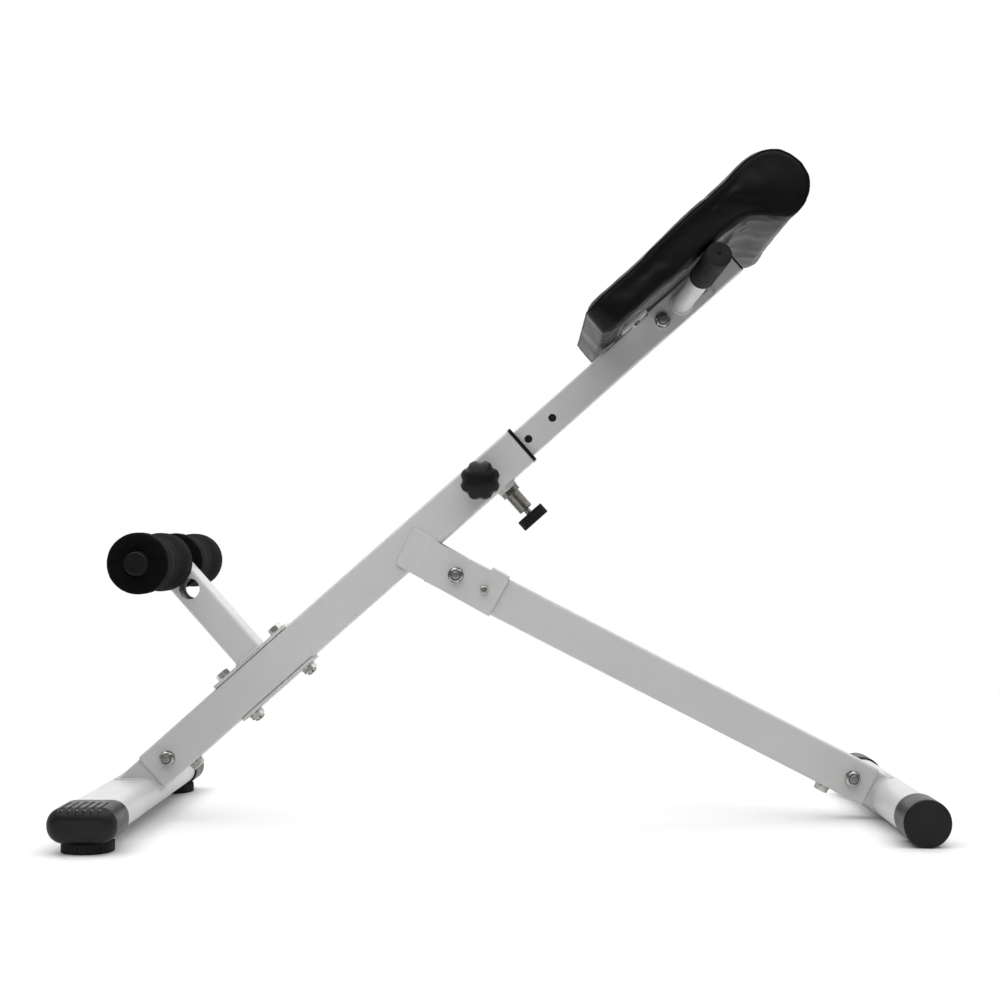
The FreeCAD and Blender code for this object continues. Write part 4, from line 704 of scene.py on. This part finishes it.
def set_coordinates(mesh, values):
    mesh.vertices.foreach_set("co", np.ascontiguousarray(values, dtype=np.float32).ravel())
    mesh.update()


def vertex_normals(mesh):
    values = np.zeros(len(mesh.vertices) * 3)
    mesh.vertices.foreach_get("normal", values)
    return values.reshape(-1, 3)


def face_values(mesh, name):
    values = np.zeros(len(mesh.polygons) * 3)
    mesh.polygons.foreach_get(name, values)
    return values.reshape(-1, 3)


def apply_modifiers(obj):
    graph = bpy.context.evaluated_depsgraph_get()
    mesh = bpy.data.meshes.new_from_object(obj.evaluated_get(graph))
    obj.modifiers.clear()
    obj.data = mesh


def pad_block(outline):
    """Closed cover before it is stuffed, remeshed to even quads, in the rail frame."""
    turns = [math.sin(k / 8 * math.pi / 2) for k in range(9)]
    ys = [PAD_HALF_WIDTH - PAD_CORNER * (1 - turn) for turn in turns]
    points = []
    for y in [-y for y in reversed(ys)] + ys:
        points += at_width(outline, y)
    count = len(outline)
    faces = grid_faces(2 * len(ys), count)
    faces += [tuple(range(count)), tuple(reversed(range(len(points) - count, len(points))))]
    block = new_piece("pad_cover", points, faces, VINYL)
    bm = bmesh.new()
    bm.from_mesh(block.data)
    bmesh.ops.recalc_face_normals(bm, faces=bm.faces)
    bm.to_mesh(block.data)
    bm.free()
    remesh = block.modifiers.new("even_quads", "REMESH")
    remesh.mode = "VOXEL"
    remesh.voxel_size = 4.5 * MM
    remesh.use_smooth_shade = True
    apply_modifiers(block)
    return block


def inflate(block, limit):
    """Cloth under pressure, held at the board, with each point's travel capped at `limit`."""
    rest = coordinates(block.data)
    held = block.vertex_groups.new(name="held")
    weights = under_board(rest)
    for index in np.nonzero(weights > 0.02)[0]:
        held.add([int(index)], float(weights[index]), "REPLACE")
    cloth = block.modifiers.new("stuffing", "CLOTH")
    cloth.settings.quality = 4
    cloth.settings.mass = 0.25
    cloth.settings.tension_stiffness = 18
    cloth.settings.compression_stiffness = 12
    cloth.settings.bending_stiffness = 0.4
    cloth.settings.use_pressure = True
    cloth.settings.uniform_pressure_force = 4
    cloth.settings.vertex_group_mass = "held"
    cloth.settings.effector_weights.gravity = 0
    cloth.collision_settings.use_collision = False
    cloth.point_cache.frame_start, cloth.point_cache.frame_end = 1, 20
    for number in range(1, 21):
        bpy.context.scene.frame_set(number)
    graph = bpy.context.evaluated_depsgraph_get()
    swollen = coordinates(block.evaluated_get(graph).data)
    block.modifiers.clear()
    travel = swollen - rest
    length = np.linalg.norm(travel, axis=1)
    share = np.minimum(1, limit / np.maximum(length, 1e-9))
    set_coordinates(block.data, rest + travel * share[:, None])
    bpy.context.scene.frame_set(1)


def ripple(points, scale, seed):
    """Smooth pseudo-random field from a few sine waves, about -1 to 1."""
    rng = np.random.default_rng(seed)
    field = np.zeros(len(points))
    for _ in range(7):
        wave = rng.normal(0, 1, 3)
        wave *= scale * rng.uniform(0.6, 1.5) / np.linalg.norm(wave)
        field += np.sin(points @ wave + rng.uniform(0, 2 * math.pi))
    return field / 4


def make_pad():
    outline = pad_outline()
    seam, fold = seam_lines(outline)
    block = pad_block(outline)
    rest = coordinates(block.data)
    away = np.minimum(distance_to(rest, seam), distance_to(rest, fold))
    rise = 0.6 + 1.8 * smooth(2 * MM, 14 * MM, away) + 2.4 * smooth(12 * MM, 70 * MM, away)
    limit = rise * MM * (1 - under_board(rest))
    inflate(block, limit)
    finer = block.modifiers.new("finer", "SUBSURF")
    finer.levels = finer.render_levels = 1
    apply_modifiers(block)
    detail_pad(block.data, seam, fold)
    block.data.shade_smooth()
    seam = laid_on(block, seam)
    block.data.transform(RAIL.matrix())
    block.name = "pad_cover"
    attach(block, "mast")
    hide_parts("pad_cushion")
    make_seam(seam)
    make_staples()


def detail_pad(mesh, seam, fold):
    """Seam valleys, gathers, stitch line, a crease before the roll, tucks and the dust cover."""
    points = coordinates(mesh)
    normals = vertex_normals(mesh)
    from_seam = distance_to(points, seam)
    from_fold = distance_to(points, fold)
    away = np.minimum(from_seam, from_fold)
    s, y, n = points.T
    on_end = (s < PAD_LOW + PAD_CORNER) & (n < END_SEAM - 1 * MM)
    on_wall = (np.abs(y) > PAD_HALF_WIDTH - 2 * MM) | on_end
    lift = -1.3 * MM * np.exp(-((from_seam / (2.6 * MM)) ** 2))
    stitched = np.exp(-(((from_seam - 5.5 * MM) / (1.6 * MM)) ** 2)) * ~on_wall
    lift -= 0.7 * MM * stitched
    gathers = np.exp(-(((from_seam - 8 * MM) / (8 * MM)) ** 2)) * ~on_wall
    lift += 0.5 * MM * ripple(points, 420, 3) * gathers
    lift += 0.3 * MM * ripple(points, 75, 5) * smooth(5 * MM, 30 * MM, away)
    top = (n > 50 * MM) & ~on_wall
    lift -= 1.4 * MM * np.exp(-(((s - 0.4135) / (3.5 * MM)) ** 2)) * top
    below = (normals[:, 2] < -0.3) & (s < 0.432)
    lift -= 1.2 * MM * np.exp(-(((from_fold - 3.5 * MM) / (1.5 * MM)) ** 2)) * below
    under = below * (n < 27 * MM)
    border = np.minimum.reduce([s - BOARD_LOW, BOARD_HIGH - s, BOARD_HALF - np.abs(y)])
    hem = under * smooth(-HEM, -HEM + 3 * MM, -border)
    tucks = ripple(points * np.array([1, 1, 0]), 230, 8)
    outside = under * smooth(-2 * MM, 6 * MM, -border)
    lift += hem * (0.5 * MM + 0.35 * MM * np.abs(tucks)) + outside * (1.1 * MM * tucks - 0.6 * MM)
    set_coordinates(mesh, points + normals * lift[:, None])
    mesh.materials.clear()
    mesh.materials.append(VINYL)
    mesh.materials.append(BACKING)
    centres = face_values(mesh, "center")
    inner = [centres[:, 0] - BOARD_LOW, BOARD_HIGH - centres[:, 0], BOARD_HALF - np.abs(centres[:, 1])]
    facing_down = face_values(mesh, "normal")[:, 2] < -0.5
    covered = (np.minimum.reduce(inner) > HEM) & facing_down & (centres[:, 2] < 27 * MM)
    mesh.polygons.foreach_set("material_index", covered.astype(np.int32))


def laid_on(block, line):
    """A line pulled onto the finished cover and smoothed."""
    tree = BVHTree.FromObject(block, bpy.context.evaluated_depsgraph_get())
    path = []
    for point in line:
        place, normal, _, _ = tree.find_nearest(point)
        path.append(place + normal * 0.4 * MM)
    for _ in range(4):
        inner = [(before + at * 2 + after) / 4 for before, at, after in zip(path, path[1:], path[2:])]
        path = [path[0]] + inner + [path[-1]]
    return path


def inward_of(path):
    """For each point of the seam, the direction that leads over the top panel, away from the side wall."""
    directions = []
    for number, point in enumerate(path):
        ahead = (path[min(number + 1, len(path) - 1)] - path[max(number - 1, 0)]).normalized()
        outward = Vector((0, point.y, 0)).normalized()
        if abs(point.y) < PAD_HALF_WIDTH - 4 * MM:
            outward = Vector((-1, 0, 0))
        across = -outward
        directions.append((across - ahead * across.dot(ahead)).normalized())
    return directions


def make_seam(line):
    """Piped welt along the seam, with a row of stitches on the top panel beside it."""
    rng = np.random.default_rng(21)
    path = resampled(line, 2.5 * MM)
    radii = 1.15 * MM + rng.normal(0, 0.05 * MM, len(path))
    welt = joined("pad_welt", [tube_along(path, radii, 8, closed=False)], WELT)
    welt.data.transform(RAIL.matrix())
    attach(welt, "mast")
    row = resampled(line, 5.2 * MM)
    stitches = []
    for number, (point, inward) in enumerate(zip(row, inward_of(row))):
        ahead = (row[min(number + 1, len(row) - 1)] - row[max(number - 1, 0)]).normalized()
        outward = inward.cross(ahead).normalized()
        if outward.dot(point - Vector((0.37, 0, 0.03))) < 0:
            outward.negate()
        steps = [-1.6, -1.0, 0, 1.0, 1.6]
        dips = [-1.2, 0.2, 0.5, 0.2, -1.2]
        seat = point + inward * 5.5 * MM + outward * 0.6 * MM
        thread = [seat + ahead * k * MM + outward * d * MM for k, d in zip(steps, dips)]
        stitches.append(tube_along(thread, 0.32 * MM, 6, closed=False))
    sewn = joined("pad_stitches", stitches, YARN)
    sewn.data.transform(RAIL.matrix())
    attach(sewn, "mast")


def make_staples():
    """Wire staples that hold the cover's hem to the board."""
    rng = np.random.default_rng(31)
    inset = 11 * MM
    low, high, half = BOARD_LOW + inset, BOARD_HIGH - inset, BOARD_HALF - inset
    border = [(low, -half, 0), (high, -half, 0), (high, half, 0), (low, half, 0)]
    staples = []
    for place in resampled(border, 24 * MM, closed=True):
        turn = rng.uniform(0, math.pi) * 0.25
        along = Vector((math.cos(turn), math.sin(turn), 0))
        middle = Vector((place.x, place.y, 20.9 * MM))
        path = [middle - along * 5 * MM + Vector((0, 0, 2 * MM)), middle - along * 4.9 * MM]
        path += [middle + along * 4.9 * MM, middle + along * 5 * MM + Vector((0, 0, 2 * MM))]
        staples.append(tube_along(path, 0.4 * MM, 6, closed=False))
    piece = joined("pad_staples", staples, ZINC)
    piece.data.transform(RAIL.matrix())
    attach(piece, "mast")


# Welds


def weld_bead(path, radius, closed=True, seed=1):
    """Ripple-marked bead along a joint, as (points, faces)."""
    rng = np.random.default_rng(seed)
    line = resampled(path, 0.9 * MM, closed=closed)
    phase = np.arange(len(line)) * 0.9 / 2.6
    ripples = np.abs((phase % 1) - 0.35) * 0.5
    sway = np.convolve(rng.normal(0, 1, len(line)), np.ones(9) / 9, "same") * 0.35
    radii = radius * (1.08 - ripples + 0.35 * sway)
    if not closed:
        ends = np.minimum(np.arange(len(line)), np.arange(len(line))[::-1]) / 3
        radii = radii * np.clip(0.35 + ends, 0, 1)
    return tube_along(line, radii, 8, closed=closed)


def ring_path(centre, direction, radius):
    matrix = along_axis(centre, direction)
    steps = [2 * math.pi * k / 48 for k in range(48)]
    return [matrix @ Vector((radius * math.cos(a), radius * math.sin(a), 0)) for a in steps]


def run_to(start, direction, is_inside):
    """First point from start along direction that is inside a solid."""
    point = start.copy()
    for _ in range(1000):
        if is_inside(point):
            break
        point += direction * 0.25 * MM
    return point


def in_rear_oval(point):
    past = max(0.0, abs(point.x - REAR_AXIS.x) - REAR_OVAL_FLAT)
    return math.hypot(past, point.z - REAR_AXIS.z) < REAR_OVAL_RADIUS


def in_front_tube(point):
    axis = LEG.at(FRONT_TUBE_ALONG, 0, 0)
    return math.hypot(point.x - axis.x, point.z - axis.z) < FRONT_TUBE_RADIUS


def make_frame_welds():
    beads = []
    for side in (-1, 1):
        beads += bracket_beads(side)
    post_foot = rounded_rectangle(19.3 * MM, 25.2 * MM, 4 * MM)
    post = [RAIL.at(POST_ALONG + x, y, 29.4 * MM) for x, y in post_foot]
    beads.append(weld_bead(post, 1.9 * MM, seed=4))
    pin_boss = ring_path(RAIL.at(PIN_ALONG, 0, -25.4 * MM), RAIL.up, 13.2 * MM)
    beads.append(weld_bead(pin_boss, 1.3 * MM, seed=5))
    knob_boss = ring_path(RAIL.at(KNOB_ALONG, -25.3 * MM, 0), (0, 1, 0), 9.4 * MM)
    beads.append(weld_bead(knob_boss, 1.2 * MM, seed=6))
    far_boss = LEG.at(LEG_LOCK_ALONG, 28.8 * MM, 0)
    beads.append(weld_bead(ring_path(far_boss, (0, 1, 0), 9.2 * MM), 1.2 * MM, seed=7))
    stub = []
    for x, y in rounded_rectangle(STUB_HALF, STUB_HALF, STUB_CORNER):
        start = RAIL.at(-490 * MM, x, y)
        stub.append(run_to(start, -RAIL.along, in_rear_oval))
    beads.append(weld_bead(stub, 2.2 * MM, seed=8))
    piece = joined("frame_welds", beads, WELD)
    attach(piece, "frame")


def bracket_beads(side):
    """Beads along the bracket's edges where they lie on the side of the main tube."""
    back = -BRACKET_BACK
    edge = [(back, -BRACKET_HALF, 0), (back, BRACKET_HALF, 0), (60 * MM, BRACKET_HALF, 0)]
    line = [BRACKET.at(p.x, side * 26 * MM, p.y) for p in resampled(edge, 1 * MM)]
    over_tube = []
    for point in line:
        height = (point - RAIL.origin).dot(RAIL.up)
        if abs(height) < TUBE_HALF - 2.5 * MM:
            over_tube.append(point)
    return [weld_bead(over_tube, 2.0 * MM, closed=False, seed=9 + side)]


def make_handle_welds():
    beads = []
    for side in (-1, 1):
        root, _, direction = handle_axis(side)
        matrix = along_axis(root, direction)
        path = []
        for step in range(60):
            angle = 2 * math.pi * step / 60
            point = matrix @ Vector((HANDLE_RADIUS * math.cos(angle), HANDLE_RADIUS * math.sin(angle), 0))
            reach = (side * 22.3 * MM - point.y) / direction.y
            path.append(point + direction * reach)
        beads.append(weld_bead(path, 2.3 * MM, seed=14 + side))
    piece = joined("handle_welds", beads, WELD)
    attach(piece, "mast")


def make_leg_welds():
    stub = []
    for x, y in rounded_rectangle(STUB_HALF, STUB_HALF, STUB_CORNER):
        start = LEG.at(560 * MM, x, y)
        stub.append(run_to(start, LEG.along, in_front_tube))
    piece = joined("leg_welds", [weld_bead(stub, 2.2 * MM, seed=17)], WELD)
    attach(piece, "leg")


# Lock nuts and threads


def nut_ring(end, direction):
    """Nylon ring in a lock nut's collar, seen round the bolt at the nut's outer end."""
    profile = [(5.15, -0.6), (5.15, 0.2), (5.5, 0.42), (6.2, 0.42), (6.55, 0.2), (6.6, -0.6)]
    points, faces = lathe([(r * MM, h * MM) for r, h in profile], 40)
    matrix = along_axis(end, direction)
    return [matrix @ Vector(p) for p in points], faces


def bolt_end(seat, direction):
    """Threaded, chamfered bolt tip that stands proud of the nut."""
    pitch = 1.5
    profile = []
    for step in range(13):
        height = -1.6 + step * 0.25
        depth = 0.28 * abs(((height / pitch) % 1) * 2 - 1)
        profile.append((5.02 - depth, height))
    profile += [(4.3, 1.62), (2.2, 1.66), (0.1, 1.66)]
    points, faces = lathe([(r * MM, h * MM) for r, h in profile], 36)
    matrix = along_axis(seat, direction)
    return [matrix @ Vector(p) for p in points], faces


def make_nut_details():
    near = Vector((0, -1, 0))
    down = -RAIL.up
    reach = WASHER + NUT_HEIGHT
    plate = TUBE_HALF + 3.5 * MM
    handle = MAST_HALF + HANDLE_PLATE
    low = TUBE_HALF + 4 * MM
    ends = {
        "frame": [
            (RAIL.at(REAR_BOLT_ALONG, -TUBE_HALF - reach, 0), near),
            (RAIL.at(PIVOT_ALONG, -plate - reach, -PIVOT_DROP), near),
            *((RAIL.at(along, 0, -low - reach), down) for along in POST_BOLTS_ALONG),
        ],
        "mast": [(RAIL.at(along, -handle - reach, 0), near) for along in HANDLE_BOLTS_ALONG],
        "leg": [(LEG.at(LEG_BOLT_ALONG, -TUBE_HALF - reach, 0), near)],
    }
    for body, places in ends.items():
        rings = joined(f"{body}_nut_rings", [nut_ring(*place) for place in places], NYLON)
        attach(rings, body)
        tips = joined(f"{body}_bolt_tips", [bolt_end(*place) for place in places], THREAD)
        attach(tips, body)


# Room, light and camera


def make_floor():
    points, faces = lathe([(radius, 0.0) for radius in (0.001, 0.9, 2.6, 14.0)], 64)
    look = bpy.data.materials.new("floor_look")
    look.use_nodes = True
    tree = look.node_tree
    shader = tree.nodes["Principled BSDF"]
    shader.inputs["Base Color"].default_value = (0.86, 0.86, 0.86, 1)
    shader.inputs["Roughness"].default_value = 0.6
    shader.inputs["Specular IOR Level"].default_value = 0.1
    glow = tree.nodes.new("ShaderNodeEmission")
    glow.inputs["Color"].default_value = (1, 1, 1, 1)
    ray = tree.nodes.new("ShaderNodeLightPath")
    strength = tree.nodes.new("ShaderNodeMapRange")
    strength.inputs["To Min"].default_value = 0.3
    tree.links.new(ray.outputs["Is Camera Ray"], strength.inputs["Value"])
    tree.links.new(strength.outputs["Result"], glow.inputs["Strength"])
    mix = tree.nodes.new("ShaderNodeMixShader")
    coords = tree.nodes.new("ShaderNodeTexCoord")
    length = tree.nodes.new("ShaderNodeVectorMath")
    length.operation = "LENGTH"
    fade = tree.nodes.new("ShaderNodeMapRange")
    fade.interpolation_type = "SMOOTHSTEP"
    for name, number in (("From Min", 0.9), ("From Max", 2.4)):
        fade.inputs[name].default_value = number
    tree.links.new(coords.outputs["Object"], length.inputs[0])
    tree.links.new(length.outputs["Value"], fade.inputs["Value"])
    tree.links.new(fade.outputs["Result"], mix.inputs["Fac"])
    tree.links.new(shader.outputs["BSDF"], mix.inputs[1])
    tree.links.new(glow.outputs["Emission"], mix.inputs[2])
    tree.links.new(mix.outputs["Shader"], tree.nodes["Material Output"].inputs["Surface"])
    floor = new_piece("floor", points, faces, look)


def area_light(name, place, target, size, watts, size_y=None):
    data = bpy.data.lights.new(name, "AREA")
    data.energy = watts
    data.shape = "RECTANGLE"
    data.size = size
    data.size_y = size_y or size
    lamp = bpy.data.objects.new(name, data)
    bpy.context.scene.collection.objects.link(lamp)
    lamp.location = place
    lamp.rotation_euler = (Vector(target) - Vector(place)).to_track_quat("-Z", "Y").to_euler()
    lamp.visible_camera = False


def make_light():
    world = bpy.data.worlds.new("studio")
    bpy.context.scene.world = world
    world.use_nodes = True
    tree = world.node_tree
    sky = tree.nodes["Background"]
    sky.inputs["Color"].default_value = (1, 1, 1, 1)
    sky.inputs["Strength"].default_value = 0.05
    seen = tree.nodes.new("ShaderNodeBackground")
    seen.inputs["Color"].default_value = (1, 1, 1, 1)
    path = tree.nodes.new("ShaderNodeLightPath")
    mix = tree.nodes.new("ShaderNodeMixShader")
    tree.links.new(path.outputs["Is Camera Ray"], mix.inputs["Fac"])
    tree.links.new(sky.outputs["Background"], mix.inputs[1])
    tree.links.new(seen.outputs["Background"], mix.inputs[2])
    tree.links.new(mix.outputs["Shader"], tree.nodes["World Output"].inputs["Surface"])
    area_light("overhead", (0, -0.3, 2.5), (0, -0.3, 0), 5.0, 150, 4.4)
    area_light("front", (0, -3.2, 2.5), (0, 0, 0.3), 3.4, 22, 1.6)
    area_light("back", (0, 3.2, 1.2), (0, 0, 0.6), 6.0, 80, 3.4)
    area_light("left", (-3.2, 0.4, 0.9), (0, 0, 0.4), 2.6, 18)
    area_light("right", (3.2, 0.4, 0.9), (0, 0, 0.4), 2.6, 18)


def make_camera():
    data = bpy.data.cameras.new("camera")
    data.lens = 65.36
    data.sensor_width = 36
    data.shift_x, data.shift_y = -0.025, 0.04
    data.clip_start, data.clip_end = 0.05, 60
    camera = bpy.data.objects.new("camera", data)
    bpy.context.scene.collection.objects.link(camera)
    camera.location = (0.0235, -2.3, 0.352)
    camera.rotation_euler = (math.radians(90), 0, 0)
    bpy.context.scene.camera = camera
    bpy.context.scene.view_settings.view_transform = "Standard"


make_camera()
make_light()
make_floor()
dress_cad_nodes()
for name, side in (("right", -1), ("left", 1)):
    make_foam_roller(name, side)
    make_grip(name, side)
make_star_knob()
make_pad()
make_frame_welds()
make_handle_welds()
make_leg_welds()
make_nut_details()
